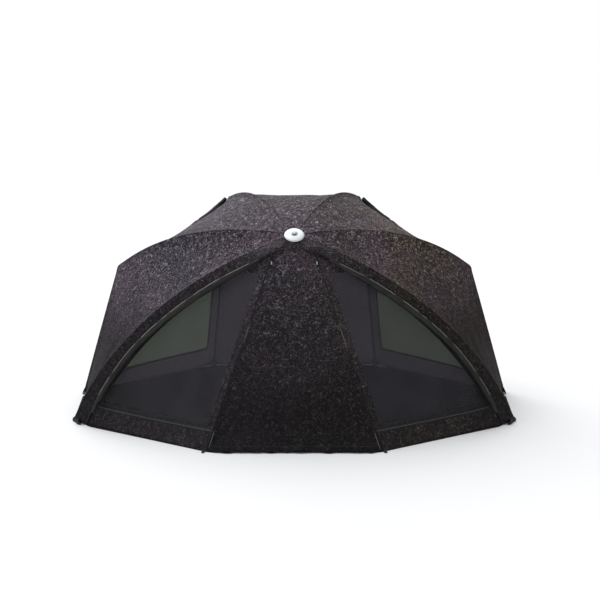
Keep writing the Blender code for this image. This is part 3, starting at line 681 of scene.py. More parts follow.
def relief(grid, seed, wrinkle, pulls):
    """Height over the taut surface: slack waves, fanned folds, seam gathers and a doubled hem."""
    side, top, bottom = edge_distance(grid)
    height = (wandering(grid, 3.2, seed) * 1.3 + wandering(grid, 9.0, seed + 1) * 0.45) * wrinkle
    for number, (row, col, depth, count, reach) in enumerate(pulls):
        height = height + creases(grid, grid[row, col], depth, count, seed + 1.7 * number, reach)
    height = height * smooth_step(side / CALM_SIDE) * smooth_step(top / CALM_TOP)
    height = height * (0.35 + 0.65 * smooth_step(bottom / CALM_SIDE))
    gathers = np.sin(top * TURN / GATHER_PITCH + 2.1 * np.sin(top * 23.0 + seed)) * bell(side, GATHER_REACH)
    height += GATHER_RISE * gathers * smooth_step(side / 0.008)
    return height + HEM_RISE * smooth_step((HEM_FOLD - bottom) / 0.003)


# Materials


def binary(operation, swapped=False):
    """A Python operator that adds a Math node; swapped for a number that stands first."""
    return lambda self, other: self.math(operation, *((other, self) if swapped else (self, other)))


class Wire:
    """What leaves a node's socket. Python's operators on it add Math nodes."""

    def __init__(self, graph, socket):
        self.graph = graph
        self.socket = socket

    def math(self, operation, *values):
        return self.graph.node("ShaderNodeMath", {"operation": operation}, dict(enumerate(values)))

    __add__, __radd__ = binary("ADD"), binary("ADD", swapped=True)
    __sub__, __rsub__ = binary("SUBTRACT"), binary("SUBTRACT", swapped=True)
    __mul__, __rmul__ = binary("MULTIPLY"), binary("MULTIPLY", swapped=True)

    def __abs__(self):
        return self.math("ABSOLUTE", self)

    def wave(self, pitch):
        """A sine that repeats each pitch, in metres."""
        return (self * (TURN / pitch)).sine()

    def sine(self):
        return self.math("SINE", self)

    def ramp(self, low, high):
        """0 below low, 1 above high, and smooth between; low above high turns it round."""
        start, end = sorted((low, high))
        inputs = {"Value": self, "From Min": start, "From Max": end}
        if low > high:
            inputs.update({"To Min": 1.0, "To Max": 0.0})
        return self.graph.node("ShaderNodeMapRange", {"interpolation_type": "SMOOTHSTEP"}, inputs)


class Graph:
    """The nodes of one material, or of the world."""

    def __init__(self, name, owner=None):
        self.owner = owner or bpy.data.materials.new(name)
        self.owner.use_nodes = True
        self.nodes = self.owner.node_tree.nodes
        self.links = self.owner.node_tree.links

    def node(self, kind, settings=None, inputs=None, output=0):
        """Adds a node, applies its settings, fills its sockets with values or links, and gives an output."""
        made = self.nodes.new(kind)
        for key, value in (settings or {}).items():
            setattr(made, key, value)
        for key, value in (inputs or {}).items():
            self.feed(made.inputs[key], value)
        return Wire(self, made.outputs[output])

    def feed(self, socket, value):
        if isinstance(value, Wire):
            self.links.new(value.socket, socket)
        else:
            socket.default_value = value

    def show(self, shader, output="Material Output"):
        self.feed(self.nodes[output].inputs["Surface"], shader)

    def axes(self):
        """The point on the object, in metres, as three numbers."""
        point = self.node("ShaderNodeTexCoord", output="Object")
        split = self.node("ShaderNodeSeparateXYZ", {}, {0: point})
        return [Wire(self, socket) for socket in split.socket.node.outputs]

    def noise(self, scale, detail=2.0, distortion=0.0, stretch=(1.0, 1.0, 1.0), rough=0.5, shift=0.0):
        point = self.node("ShaderNodeTexCoord", output="Object")
        where = self.node("ShaderNodeMapping", {}, {"Vector": point, "Scale": stretch})
        if shift:
            moved = {0: where, 1: (shift, shift * 0.7, shift * 1.3)}
            where = self.node("ShaderNodeVectorMath", {"operation": "ADD"}, moved)
        inputs = {"Vector": where, "Scale": scale, "Detail": detail}
        inputs.update({"Distortion": distortion, "Roughness": rough})
        return self.node("ShaderNodeTexNoise", {"normalize": True}, inputs)

    def number(self, name):
        """A number that the mesh holds at each point."""
        return self.node("ShaderNodeAttribute", {"attribute_name": name}, output="Fac")

    def mixed(self, share, first, second):
        """The first colour turning into the second by share."""
        inputs = {0: share, 6: self.tint(first), 7: self.tint(second)}
        return self.node("ShaderNodeMix", {"data_type": "RGBA"}, inputs, output=2)

    def tint(self, colour):
        return colour if isinstance(colour, Wire) else (*colour, 1.0)

    def bump(self, height, distance, strength, under=None):
        inputs = {"Height": height, "Distance": distance, "Strength": strength}
        if under:
            inputs["Normal"] = under
        return self.node("ShaderNodeBump", {}, inputs)

    def weave(self, pitch=0.0011):
        """Plain weave seen along each axis of the object, from 0 to 1."""
        x, y, z = (axis * (TURN / pitch) for axis in self.axes())
        return (x.sine() * (z + y).sine() + 1.0) * 0.5

    def squiggles(self, scale, width, shift, share):
        """Short worm-like strokes: pieces of the level lines of a twisted noise, crisp at their edges."""
        field = self.noise(scale, detail=0.0, distortion=1.2, shift=shift)
        broken = self.noise(scale * 1.15, detail=0.0, distortion=0.6, shift=shift + 3.0)
        return abs(field - 0.5).ramp(width, width * 0.55) * broken.ramp(share, share + 0.03)

    def let_light_through(self, share, colour):
        """Mixes in light that comes through thin cloth from its other side."""
        surface = Wire(self, self.nodes["Principled BSDF"].outputs[0])
        through = self.node("ShaderNodeBsdfTranslucent", {}, {"Color": self.tint(colour)})
        self.show(self.node("ShaderNodeMixShader", {}, {0: share, 1: surface, 2: through}))

    def finish(self, colour, roughness, normal=None, **sockets):
        """Fills the surface shader's sockets, with _ for each space in a name."""
        inputs = {"Base Color": self.tint(colour), "Roughness": roughness}
        if normal:
            inputs["Normal"] = normal
        inputs.update({key.replace("_", " "): value for key, value in sockets.items()})
        for name, value in inputs.items():
            self.feed(self.nodes["Principled BSDF"].inputs[name], value)
        return self.owner


def shaded(colour, by=1.0, plus=0.0):
    return tuple(min(1.0, part * by + plus) for part in colour)


def tone(key, by=1.0, plus=0.0):
    """One of the panel's colours, lighter or darker."""
    return shaded(getattr(bpy.context.scene.brolly_colours, key), by, plus)


def camouflage(name, light, low_light, painted_light_heights, sharp=1.0, strokes=1.0, through=0.0, sheen=0.04):
    """Dark coated cloth printed with fine broken squiggles over soft patches of purple, grey and brown."""
    graph = Graph(name)
    x, _, z = graph.axes()
    wander = graph.noise(1.3, detail=1.0, shift=21.0) - 0.5
    warm = (x + wander * 1.6).ramp(-0.55, 0.75)
    patch = graph.noise(2.6, detail=1.0, distortion=0.3).ramp(0.38, 0.62)
    base = graph.mixed(patch, tone("purple"), tone("charcoal"))
    brown = warm * graph.noise(3.1, detail=1.0, shift=4.0).ramp(0.35, 0.65)
    base = graph.mixed(brown, base, tone("brown"))
    blot = graph.noise(62.0, detail=1.0, distortion=0.8, shift=9.0).ramp(0.47, 0.40)
    base = graph.mixed(blot * 0.7, base, tone("black"))
    bright = graph.mixed(warm, tone("ash", strokes), tone("beige", strokes))
    dim = graph.mixed(0.55, bright, tone("dust", strokes))
    for scale, width, shift, share, cover, ink in (
        (58.0, 0.040, 6.0, 0.50, 0.85, dim), (41.0, 0.030, 1.0, 0.47, 0.95, bright),
        (88.0, 0.050, 13.0, 0.56, 0.75, bright),
    ):
        base = graph.mixed(graph.squiggles(scale, width, shift, share) * (cover * sharp), base, ink)
    wear = graph.noise(1.7, detail=3.0, shift=14.0).ramp(0.35, 0.7)
    # Painted light and shade: the cloth is lighter toward its top and darker toward its foot, ramped over the
    # given heights from low_light up to light.
    height = (z - x * 0.05).ramp(*painted_light_heights)
    value = wear * 0.16 + height * (light - light * low_light) + light * low_light
    # Painted light: the upper cloth is lighter on the left and darker on the right, and the lower cloth the
    # other way round.
    value = value * (1.0 - (z.ramp(0.2, 1.1) - 0.5) * x * PAINTED_SIDE_LIGHT)
    shade = graph.node("ShaderNodeHueSaturation", {}, {"Color": base, "Value": value})
    weave = graph.weave()
    ripple = graph.noise(55.0, detail=3.0, stretch=(1.0, 1.0, 0.6), shift=5.0)
    normal = graph.bump(weave, 0.0002, 0.35, under=graph.bump(ripple, 0.0012, 0.5))
    if through:
        graph.let_light_through(through, LIGHT_IN_CLOTH)
    gloss = {"Sheen_Weight": sheen, "Sheen_Roughness": 0.5, "Specular_IOR_Level": 3.5 * sheen}
    return graph.finish(shade, ripple * 0.16 + 0.66, normal, **gloss)


def rolled_lining(name):
    """The dark reverse of the storm covers, creased along the roll, with painted shade darkening the edge of
    the lap.
    """
    graph = Graph(name)
    streak = graph.noise(9.0, detail=3.0, distortion=0.5)
    crease = graph.noise(60.0, detail=2.0, stretch=(0.5, 0.5, 1.0), shift=3.0)
    base = graph.mixed(streak.ramp(0.35, 0.65), tone("lining", 0.55), tone("lining"))
    base = graph.mixed(graph.number("fold") * 0.7, base, tone("black"))
    normal = graph.bump(graph.weave(), 0.0002, 0.3, under=graph.bump(crease, 0.002, 0.6))
    return graph.finish(base, streak * 0.2 + 0.5, normal, Specular_IOR_Level=0.25)


def netting(name, thread, cover, glow=None):
    """Fine see-through netting: a knitted surface that hides most of what is behind it."""
    graph = Graph(name)
    x, y, z = (axis * (TURN / 0.0016) for axis in graph.axes())
    net = (x + z).sine() * (x - z + y).sine()
    cloud = graph.noise(6.0)
    base = graph.mixed(cloud.ramp(0.3, 0.7), tone(thread), tone(thread, 1.3))
    alpha = abs(net) * 0.02 + getattr(bpy.context.scene.brolly_colours, cover) + cloud * 0.04
    if glow:
        graph.let_light_through(0.6, tone(glow))
    normal = graph.bump(net, 0.0002, 0.05)
    return graph.finish(base, cloud * 0.1 + 0.62, normal, Alpha=alpha, Specular_IOR_Level=0.08)


def woven_tape(name, colour, worn):
    """Woven tape or binding with fine cross ribs and a row of stitches near each edge."""
    graph = Graph(name)
    along, across = graph.number("along"), graph.number("across")
    wear = graph.noise(40.0, detail=3.0)
    stitch_row = abs(abs(across) - 0.0045).ramp(0.0007, 0.0003)
    stitch = along.wave(0.0038).ramp(-0.35, 0.0) * stitch_row
    edge = tone(colour, worn)
    base = graph.mixed(wear.ramp(0.35, 0.7), tone(colour), edge)
    base = graph.mixed(stitch * 0.6, base, shaded(edge, 2.4, 0.01))
    normal = graph.bump(along.wave(0.0022) * 0.4 + stitch * 1.4, 0.0004, 0.6)
    return graph.finish(base, wear * 0.15 + 0.62, normal, Specular_IOR_Level=0.2)


def zip_coil(name, teeth_colour, teeth_shade, worn):
    """Nylon coil: close teeth across the tape, with painted glints brighter along the middle."""
    graph = Graph(name)
    teeth = graph.number("along").wave(0.0025).ramp(-0.3, 0.5)
    middle = abs(graph.number("across")).ramp(0.0032, 0.0018)
    base = graph.mixed(teeth * middle, tone("webbing"), tone(teeth_colour, teeth_shade))
    # Painted glints: the middle of the coil is lightened over the lengths that its vertices mark.
    base = graph.mixed(graph.number("worn") * middle * (teeth * 0.6 + 0.4), base, tone("coil", worn))
    normal = graph.bump(teeth * middle, 0.0012, 0.5)
    return graph.finish(base, 0.62 - middle * 0.14, normal, Specular_IOR_Level=0.12)


def moulded_nylon(name):
    graph = Graph(name)
    scuff = graph.noise(90.0, detail=4.0, rough=0.65).ramp(0.55, 0.8)
    base = graph.mixed(scuff * 0.5, tone("nylon"), tone("nylon", 2.4, 0.01))
    normal = graph.bump(graph.noise(700.0), 0.0002, 0.3)
    return graph.finish(base, scuff * 0.15 + 0.58, normal, Specular_IOR_Level=0.16)


def satin_silver(name, shade=1.0):
    """Silver paint with a fine metallic grain, slightly hazed and marked."""
    graph = Graph(name)
    haze = graph.noise(30.0, detail=4.0, rough=0.6)
    silver = tone("silver", shade)
    base = graph.mixed(haze.ramp(0.35, 0.75), silver, shaded(silver, 0.88))
    normal = graph.bump(graph.noise(900.0, detail=1.0), 0.0001, 0.25)
    return graph.finish(base, haze * 0.16 + 0.34, normal, Metallic=0.15)


def anodised_rib(name):
    graph = Graph(name)
    brush = graph.noise(160.0, detail=3.0, stretch=(0.3, 0.3, 1.0))
    rub = graph.noise(22.0, detail=4.0, shift=2.0).ramp(0.5, 0.75)
    base = graph.mixed(rub * 0.5, tone("rib"), tone("rib", 1.9))
    return graph.finish(base, brush * 0.2 + 0.5, graph.bump(brush, 0.0001, 0.3), Metallic=0.4)


def dark_screw(name):
    graph = Graph(name)
    grain = graph.noise(500.0)
    base = graph.mixed(grain.ramp(0.4, 0.7), tone("screw"), tone("screw", 1.8))
    return graph.finish(base, grain * 0.2 + 0.3, graph.bump(grain, 0.0001, 0.3), Metallic=0.7)


def heavy_floor_cloth(name):
    """Heavy coated floor fabric with a ripstop grid."""
    graph = Graph(name)
    x, y, _ = graph.axes()
    dust = graph.noise(7.0, detail=4.0, shift=1.0).ramp(0.45, 0.75)
    base = graph.mixed(dust * 0.45, tone("floor_cloth"), tone("floor_cloth", 1.9, 0.004))
    normal = graph.bump(x.wave(0.008) * y.wave(0.008), 0.0002, 0.04)
    return graph.finish(base, dust * 0.1 + 0.75, normal, Specular_IOR_Level=0.1)


def studio_floor(name):
    graph = Graph(name)
    base = graph.mixed(graph.noise(0.6).ramp(0.3, 0.7), tone("studio"), tone("studio", 0.985))
    return graph.finish(base, 0.9, Specular_IOR_Level=0.1)


# In the camouflages, light and strokes set each cloth's brightness. This is partly its own tone and partly
# painted light and shade: lighter on the upward canopy, darker on the forward-facing infill and the recessed
# band. low_light and the ramp heights paint each cloth lighter toward its top.
FINISHES = {
    "canopy_camouflage": (
        camouflage, dict(light=1.55, low_light=0.27, painted_light_heights=(0.52, 1.12), strokes=1.5, through=0.3)
    ),
    "front_gore_camouflage": (camouflage, dict(
        light=1.62, low_light=0.22, painted_light_heights=(0.36, 0.92), sharp=0.55, strokes=1.5, through=0.03, sheen=0.01,
    )),
    "infill_camouflage": (camouflage, dict(light=0.98, low_light=0.14, painted_light_heights=(0.1, 1.12), sharp=0.75)),
    "wing_camouflage": (camouflage, dict(light=0.95, low_light=0.42, painted_light_heights=(0.1, 1.12), sharp=0.7)),
    "seam_camouflage": (camouflage, dict(light=1.5, low_light=0.3, painted_light_heights=(0.35, 1.20), sharp=0.8)),
    "band_camouflage": (camouflage, dict(light=0.66, low_light=0.40, painted_light_heights=(0.1, 1.15), sharp=0.65)),
    "storm_cover_lining": (rolled_lining, {}),
    "insect_mesh": (netting, dict(thread="mesh", cover="mesh_cover")),
    "rear_insect_mesh": (netting, dict(thread="rear_mesh", cover="rear_mesh_cover", glow="rear_glow")),
    "black_binding": (woven_tape, dict(colour="webbing", worn=1.8)),
    "edge_piping": (woven_tape, dict(colour="piping", worn=1.2)),
    "zip_coil": (zip_coil, dict(teeth_colour="webbing", teeth_shade=0.8, worn=1.8)),
    "skirt_zip_coil": (zip_coil, dict(teeth_colour="coil", teeth_shade=1.8, worn=2.2)),
    "moulded_nylon": (moulded_nylon, {}),
    "satin_silver": (satin_silver, {}),
    "pale_washer": (satin_silver, dict(shade=1.12)),
    "bright_metal": (satin_silver, dict(shade=0.8)),
    "screw_head": (dark_screw, {}),
    "anodised_rib": (anodised_rib, {}),
    "groundsheet_cloth": (heavy_floor_cloth, {}),
    "studio_floor": (studio_floor, {}),
}


def look(name):
    """The finish of that name, made the first time that it is asked for."""
    if name not in bpy.data.materials:
        make, settings = FINISHES[name]
        make(name, **settings)
    return bpy.data.materials[name]


# Cloth panels


def banded(surface, rows, low, high, counts):
    """The surface with borders of constant width down both sides, and counts cells in each strip."""
    fine = refined(surface, rows, even(120))
    widths = spans(fine, 1)
    low_at = np.minimum(low / widths, BORDER_LIMIT)
    high_at = np.maximum(1 - high / widths, 1 - BORDER_LIMIT)
    return np.array([
        along_line(line, strips((0.0, a, b, 1.0), counts)) for line, a, b in zip(fine, low_at, high_at)
    ])


def strips(marks, counts):
    """Places from 0 to 1, with counts cells between each two marks."""
    parts = [np.linspace(a, b, count + 1)[:-1] for a, b, count in zip(marks, marks[1:], counts)]
    return np.concatenate([*parts, [1.0]])


def panel_grid(name):
    surface = getattr(shape(), name)
    if name == "rear":
        return banded(surface, even(GORE_ROWS), REAR_BORDER, REAR_BORDER, REAR_COUNTS)
    if name == "wing":
        rows = strips((0.0, WING_WINDOW_TOP, WING_WINDOW_FOOT, 1.0), WING_ROW_COUNTS)
        return banded(surface, rows, ZIP_BORDER, ROLL_BORDER, WING_COUNTS)
    rows, cols = {"front": (GORE_ROWS, 60), "back": (GORE_ROWS, 72), "door": (110, 60)}[name]
    return refined(surface, even(rows), even(cols))


@lru_cache(maxsize=None)
def panel(name):
    """A panel's outer surface with its folds and hem, and the taut surface's normals."""
    grid = panel_grid(name)
    outs = normals(grid, FORWARD if name in ("wing", "door") else grid - INSIDE)
    placed = grid + outs * relief(grid, *PANELS[name])[..., None]
    placed[..., 2] = np.maximum(placed[..., 2], grid[..., 2].min() * 0.4)
    if name == "door":
        hang_door(grid, placed, outs)
    return placed, outs


def hang_door(grid, placed, outs):
    """Gives the door its crease across the middle, and a hem that lifts in waves and flares forwards."""
    side, _, bottom = edge_distance(grid)
    crease = bell(grid[..., 2] - DOOR_CREASE_Z, DOOR_CREASE_W) * smooth_step(side / 0.03)
    placed += outs * (DOOR_CREASE_RISE * crease)[..., None]
    sway = 0.0028 * np.sin(grid[..., 0] * 24.0 + 0.6) + 0.0016 * np.sin(grid[..., 0] * 61.0)
    loose = smooth_step(side / 0.05)
    flare = smooth_step((HEM_FLARE_H - bottom) / HEM_FLARE_H) * loose
    placed[..., 1] -= (HEM_FLARE + np.abs(sway) * 2.2) * flare
    placed[..., 2] += (DOOR_HEM_LIFT + sway) * smooth_step((DOOR_HEM_H - bottom) / DOOR_HEM_H) * loose


def window_hole(grid, rows, counts):
    """False on the cells of the window, which leaves the first and last strips of columns."""
    keep = np.ones((grid.shape[0] - 1, grid.shape[1] - 1), bool)
    keep[rows[0] : rows[1], counts[0] : counts[0] + counts[1]] = False
    return keep


def grown(cells):
    """The cells and every cell beside them."""
    for _ in range(2):
        wide = cells.copy()
        wide[1:] |= cells[:-1]
        wide[:-1] |= cells[1:]
        cells = wide.T
    return cells


def cut_sheet(name, cloth, turn, finish, node, keep=None, thickness=None, drop=0.0):
    """A sheet of cloth from its outer surface, in place of its solid."""
    placed, outs = cloth
    outer = turn(placed - outs * drop)
    thickness = thickness or bpy.context.scene.brolly_sizes.cloth
    obj = sheet_mesh(name, outer, turn(outs), finish, thickness, keep)
    declare_sheet(outer, keep)
    return fitted(obj, node)


def bind_window(kind, name, turn, cloth, rows, counts, dark=()):
    """Bound edges of a window: four straps that lie over its four sides."""
    outer, outs = cloth
    first, last = counts[0], counts[0] + counts[1]
    part, cols = slice(rows[0], rows[1] + 1), slice(first, last + 1)
    across, down = (unit(np.gradient(outer, axis=axis)) for axis in (1, 0))
    for label, at, way in (
        ("inner", (part, first), across), ("outer", (part, last), across),
        ("top", (rows[0], cols), down), ("bottom", (rows[1], cols), down),
    ):
        finish = "black_binding" if label in dark else None
        strap(kind, f"{name}_{label}", turn, outer[at], way[at], outs[at], finish)


def make_canopy():
    for name, turn in SIDES:
        cut_sheet(
            f"front_gore_{name}", panel("front"), turn, "front_gore_camouflage",
            f"canopy_front_{name}",
        )
        rear = panel("rear")
        cut_sheet(
            f"rear_gore_{name}", rear, turn, "canopy_camouflage", f"canopy_rear_{name}",
            window_hole(rear[0], REAR_WINDOW_ROWS, REAR_COUNTS),
        )
        bind_window("rear_window_binding", name, turn, rear, REAR_WINDOW_ROWS, REAR_COUNTS)
    cut_sheet(
        "back_gore", panel("back"), as_built, "canopy_camouflage",
        "canopy_back",
    )


def make_seams():
    for name, turn in SIDES:
        seam_tape(f"side_seam_{name}", turn, panel("front"), panel("rear"))
        seam_tape(f"rear_seam_{name}", turn, panel("rear"), panel("back"))


def seam_tape(name, turn, first, second):
    """A felled tape bent over the seam where two gores meet, from one row below the hub's ring."""
    seam = first[0][:, -1]
    away_a, away_b = unit(first[0][:, -2] - seam), unit(second[0][:, 1] - seam)
    out_a, out_b = first[1][:, -1], second[1][:, 0]
    middle = unit(out_a + out_b)
    half, thick, under = SEAM_HALF, SEAM_T, SEAM_UNDER
    rings = [
        seam + away_a * half - out_a * under,
        seam + away_a * half + out_a * thick * 0.7,
        seam + away_a * half * 0.45 + out_a * thick * 1.1,
        seam + middle * thick * 1.5,
        seam + away_b * half * 0.45 + out_b * thick * 1.1,
        seam + away_b * half + out_b * thick * 0.7,
        seam + away_b * half - out_b * under,
        seam - middle * under * 1.5,
    ]
    return ring_mesh(name, turn(np.stack(rings, axis=1)[1:]), "seam_camouflage")


def make_wings():
    for name, turn in SIDES:
        wing = panel("wing")
        cut_sheet(
            f"wing_panel_{name}", wing, turn, "wing_camouflage", f"wing_{name}",
            window_hole(wing[0], WING_WINDOW_ROWS, WING_COUNTS),
        )
        # The outer binding, under the rolled cover, is black as a painted shadow line below the roll. The
        # bottom binding is black too.
        dark = ("bottom", "outer")
        bind_window("wing_window_binding", name, turn, wing, WING_WINDOW_ROWS, WING_COUNTS, dark)
        down = unit(np.gradient(wing[0], axis=0))
        for kind in ("skirt_zip_tape", "skirt_zip_coil"):
            strap(kind, name, turn, *(part[SKIRT_ZIP_ROW] for part in (wing[0], down, wing[1])))


def make_windows():
    for name, turn in SIDES:
        for place, cloth, rows, counts, finish, node, carrier in (
            ("front", "wing", WING_WINDOW_ROWS, WING_COUNTS, "insect_mesh", "wing_mesh", "wing"),
            ("rear", "rear", REAR_WINDOW_ROWS, REAR_COUNTS, "rear_insect_mesh", "rear_mesh", "rear_gore"),
        ):
            shown = grown(~window_hole(panel(cloth)[0], rows, counts))
            cut_sheet(
                f"{place}_window_mesh_{name}", panel(cloth), turn, finish, f"{node}_{name}",
                shown, MESH_T, MESH_DROP,
            )


@lru_cache(maxsize=None)
def valance_rows():
    """The band's rows on the right side: places, ridge, way across, width, reach and share past the lip."""
    t = np.concatenate([np.linspace(0, 0.12, 14)[:-1], np.linspace(0.12, 1, 90)])
    ridge = to_hem(front_rib, front_match(t))
    _, wing_n = on_infill(ridge, 0.0)
    across = unit(np.cross(unit(np.gradient(ridge, axis=0)), wing_n))
    across *= np.sign(-across[:, 1:2] - across[:, 2:3])
    blend = np.clip(front_match(t) / LIP_BLEND, 0, 1)[:, None]
    lip = LIP_END + np.array([ridge[0][0] * LIP_SPREAD, 0.0, 0.0]) - ridge[0]
    width = VALANCE_W + (VALANCE_FOOT_W - VALANCE_W) * np.clip((t - 0.6) / 0.4, 0, 1)[:, None]
    reach = lip * (1 - blend) + across * width * blend
    return t, ridge, across, width, reach, blend


@lru_cache(maxsize=None)
def valance_cloth():
    """The band from foot to foot: it lies on the infill, and its lip closes under the hub."""
    _, ridge, _, _, reach, blend = valance_rows()
    shares = even(8)
    band = ridge[:, None] + reach[:, None] * shares[:, None]
    for row, past in zip(band[1:], blend[1:, 0]):
        places, _ = on_infill(row, VALANCE_LIFT + (1 - past) * LIP_LIFT)
        row[:] = between(row, places, smooth_step(shares / 0.5)[:, None])
    band[..., 2] = np.maximum(band[..., 2], HEM_Z + 0.001)
    arc = np.array([ring_point(a) for a in np.linspace(FRONT_ANGLE, -pi / 2, 14)[1:]])
    low = LIP_END + (arc - HUB) * np.array([LIP_SPREAD, 0.0, 0.0])
    hub = between(arc[:, None], low[:, None], shares[None, :, None])
    right = np.concatenate([band[::-1], hub])
    strip = np.concatenate([right, mirrored(right[-2::-1])])
    seat, _ = on_infill(strip, LIP_SEAT)
    near = smooth_step((LIP_CLOSED - np.abs(strip[:, -1:, 0])) / 0.030)
    near = near * smooth_step(shares / 0.9)[None] ** 2
    strip = between(strip, seat, near[..., None])
    outs = normals(strip, FORWARD)
    along = distances(strip[:, -1])[:, None]
    bulge = np.sin(pi * shares)[None] * 0.0016
    ripple = wandering(strip, 14.0, 8.0) * 0.0012 * smooth_step(shares / 0.4)[None]
    ripple = ripple + 0.0006 * np.sin(along * 170.0 + 2.0 * np.sin(along * 31.0)) * shares[None] ** 2
    return strip + outs * (bulge + ripple)[..., None], outs


def make_valance():
    placed, outs = valance_cloth()
    cut_sheet(
        "rim_valance", (placed, outs), as_built, "band_camouflage", "front_valance",
    )
    down = unit(np.gradient(placed, axis=1))
    edge = placed[:, -1]
    for name, part in (("right", edge[:, 0] > BINDING_START), ("left", edge[:, 0] < -BINDING_START)):
        strap("valance_binding", name, as_built, edge[part], down[part, -1], outs[part, -1])
    tube("ridge_piping", placed[:, 0] + outs[:, 0] * 0.0002, 0.0022, "seam_camouflage", 10)


def make_door():
    placed, outs = panel("door")
    cut_sheet(
        "door_panel", (placed, outs), as_built, "infill_camouflage", "door",
    )
    down, row = unit(np.gradient(placed, axis=0)), -4
    strap("door_hem_stitching", "", as_built, placed[row], down[row], outs[row])


# Zips


def make_zips():
    line = zip_line(np.linspace(ZIP_TOP_Z + 0.03, ZIP_FOOT_Z, 90))
    way = unit(np.array([0.0, DOOR_FOOT[1] - DOOR_HEAD[1], -DOOR_HEAD[2]]))
    out = np.array([0.0, way[2], -way[1]])
    across = unit(np.cross(unit(DOOR_FOOT - DOOR_HEAD), out))
    seat = zip_line(np.array([ZIP_TOP_Z]))[0]
    for name, turn in SIDES:
        strap("door_zip_flap", name, turn, line, across, out)
        coil = strap("door_zip_coil", name, turn, line, across, out)
        # Painted glints: the coil's vertices are marked over the listed heights, where its material lightens
        # it.
        height = np.repeat(line[:, 2], len(STRAP_PROFILE))
        worn = sum(np.exp(-(((height - middle) / reach) ** 4)) for middle, reach in ZIP_GLINTS[name])
        store(coil, "worn", np.minimum(worn, 1.0))
        zip_slider(name, turn(seat), way, out)
        zip_pull(name, turn(seat), way, out)


def zip_slider(name, seat, way, out):
    """The slider's waisted body, with a bail of wire over it."""
    label, middle = f"door_zip_slider_{name}", seat + out * SLIDER_LIFT
    body = moulded_block(label, middle, way, out, SLIDER_SIZE, "moulded_nylon", waist=0.78)
    fitted(body, f"zip_slider_{name}")
    angles = np.linspace(0, pi, 13)
    base = seat + out * BAIL_REACH
    bail = [base - way * BAIL_REACH * cos(a) + out * BAIL_RISE * sin(a) for a in angles]
    wire = tube(f"door_zip_slider_bail_{name}", np.array(bail), BAIL_R, "moulded_nylon", 8)
    fitted(wire)


def zip_pull(name, seat, way, out):
    """The tab that hangs from the slider: a cord loop into a moulded grip with a bright end."""
    body, top, side = f"pull_{name}", seat + out * PULL_LIFT, unit(np.cross(way, out))
    middle = top + way * GRIP_DROP
    grip = moulded_block(f"pull_grip_{name}", middle, way, out, GRIP_SIZE, "moulded_nylon", body, 0.80)
    fitted(grip, f"zip_pull_{name}")
    bends = ((-1, 0.010), (-1, 0.004), (-0.6, 0.0004), (0.6, 0.0004), (1, 0.004), (1, 0.010))
    path = cubic_along(np.array([top + side * 0.0026 * x + way * y for x, y in bends]), even(24))
    fitted(tube(f"pull_loop_{name}", path, PULL_CORD_R, "black_binding", 8, body))
    tip = moulded_block(f"pull_tip_{name}", top + way * TIP_DROP, way, out, TIP_SIZE, "bright_metal", body)
    fitted(tip)


# Rolled storm covers


def rolled(name, path, radii, turn, node, seed):
    """A storm cover rolled tight: a lumpy tube whose loose lap wanders round it, pinched at its ties."""
    at, angles = distances(path)[:, None], full_turn(ROLL_AROUND)[None]
    lap = 1.9 + 0.5 * np.sin(at * 5.0 + seed) + 0.25 * np.sin(at * 17.0)
    turned_by = np.mod(angles - lap, TURN) / TURN
    lump = 1 + 0.09 * np.sin(at * 31.0 + seed) * np.cos(angles * 2 + seed)
    lump = lump + 0.06 * np.sin((angles + at * 9.0) * 3 + 2 * np.sin(at * 24.0))
    lump = lump + 0.04 * np.sin(at * 91.0 + 2 * seed) * np.cos(angles * 3)
    lump = lump + 0.05 * np.sin(at * 47.0 + 3 * np.sin(at * 11.0 + seed)) * np.cos(angles - 1)
    pinch = 1 - 0.20 * sum(bell(at / at[-1] - tie, 0.012) for tie in ROLL_TIES)
    radius = radii[:, None] * (0.93 + 0.09 * turned_by) * lump * pinch
    rings = path[:, None] + radius[..., None] * spokes(path, ROLL_AROUND)
    obj = ring_mesh(name, turn(rings), "storm_cover_lining")
    # Painted shade: the vertices along the edge of the lap are marked, and the lining darkens toward black
    # there.
    fold = np.maximum(smooth_step((0.045 - turned_by) / 0.045), smooth_step((turned_by - 0.965) / 0.035))
    store(obj, "fold", fold)
    fitted(obj, node)


def roll_tie(name, centre, tangent, radius, out, turn):
    """A binding strap round a roll, with a toggle on its front."""
    side = unit(np.cross(tangent, out))
    rings = []
    for angle in full_turn(28):
        way = out * cos(angle) + side * sin(angle)
        rings.append([centre + way * (radius + high) + tangent * wide for wide, high in TIE_PROFILE])
    band = ring_mesh(f"{name}_strap", turn(np.array(rings)), "black_binding", loop=True)
    fitted(band)
    at = centre + unit(out * 0.8 + side * 0.3) * (radius + 0.0045)
    path = np.array([at + tangent * x for x in (-0.011, -0.0095, -0.006, 0.0, 0.006, 0.0095, 0.011)])
    sizes = np.array([0.0016, 0.0030, 0.0034, 0.0028, 0.0034, 0.0030, 0.0016])
    fitted(tube(f"{name}_toggle", turn(path), sizes, "moulded_nylon", 14))


def front_roll():
    """The front roll's path beside the valance's edge, its outward directions and its radii."""
    t, ridge, across, width, _, _ = valance_rows()
    edge = ridge + across * (width + 0.004 + FRONT_ROLL_R)
    line = along_line(edge, np.linspace(ROLL_START, ROLL_END, 220), t)
    path, outs = on_infill(line, FRONT_ROLL_R + 0.0015)
    return smoothed(path), outs, np.interp(even(219), *FRONT_ROLL_TAPER) * FRONT_ROLL_SLIM


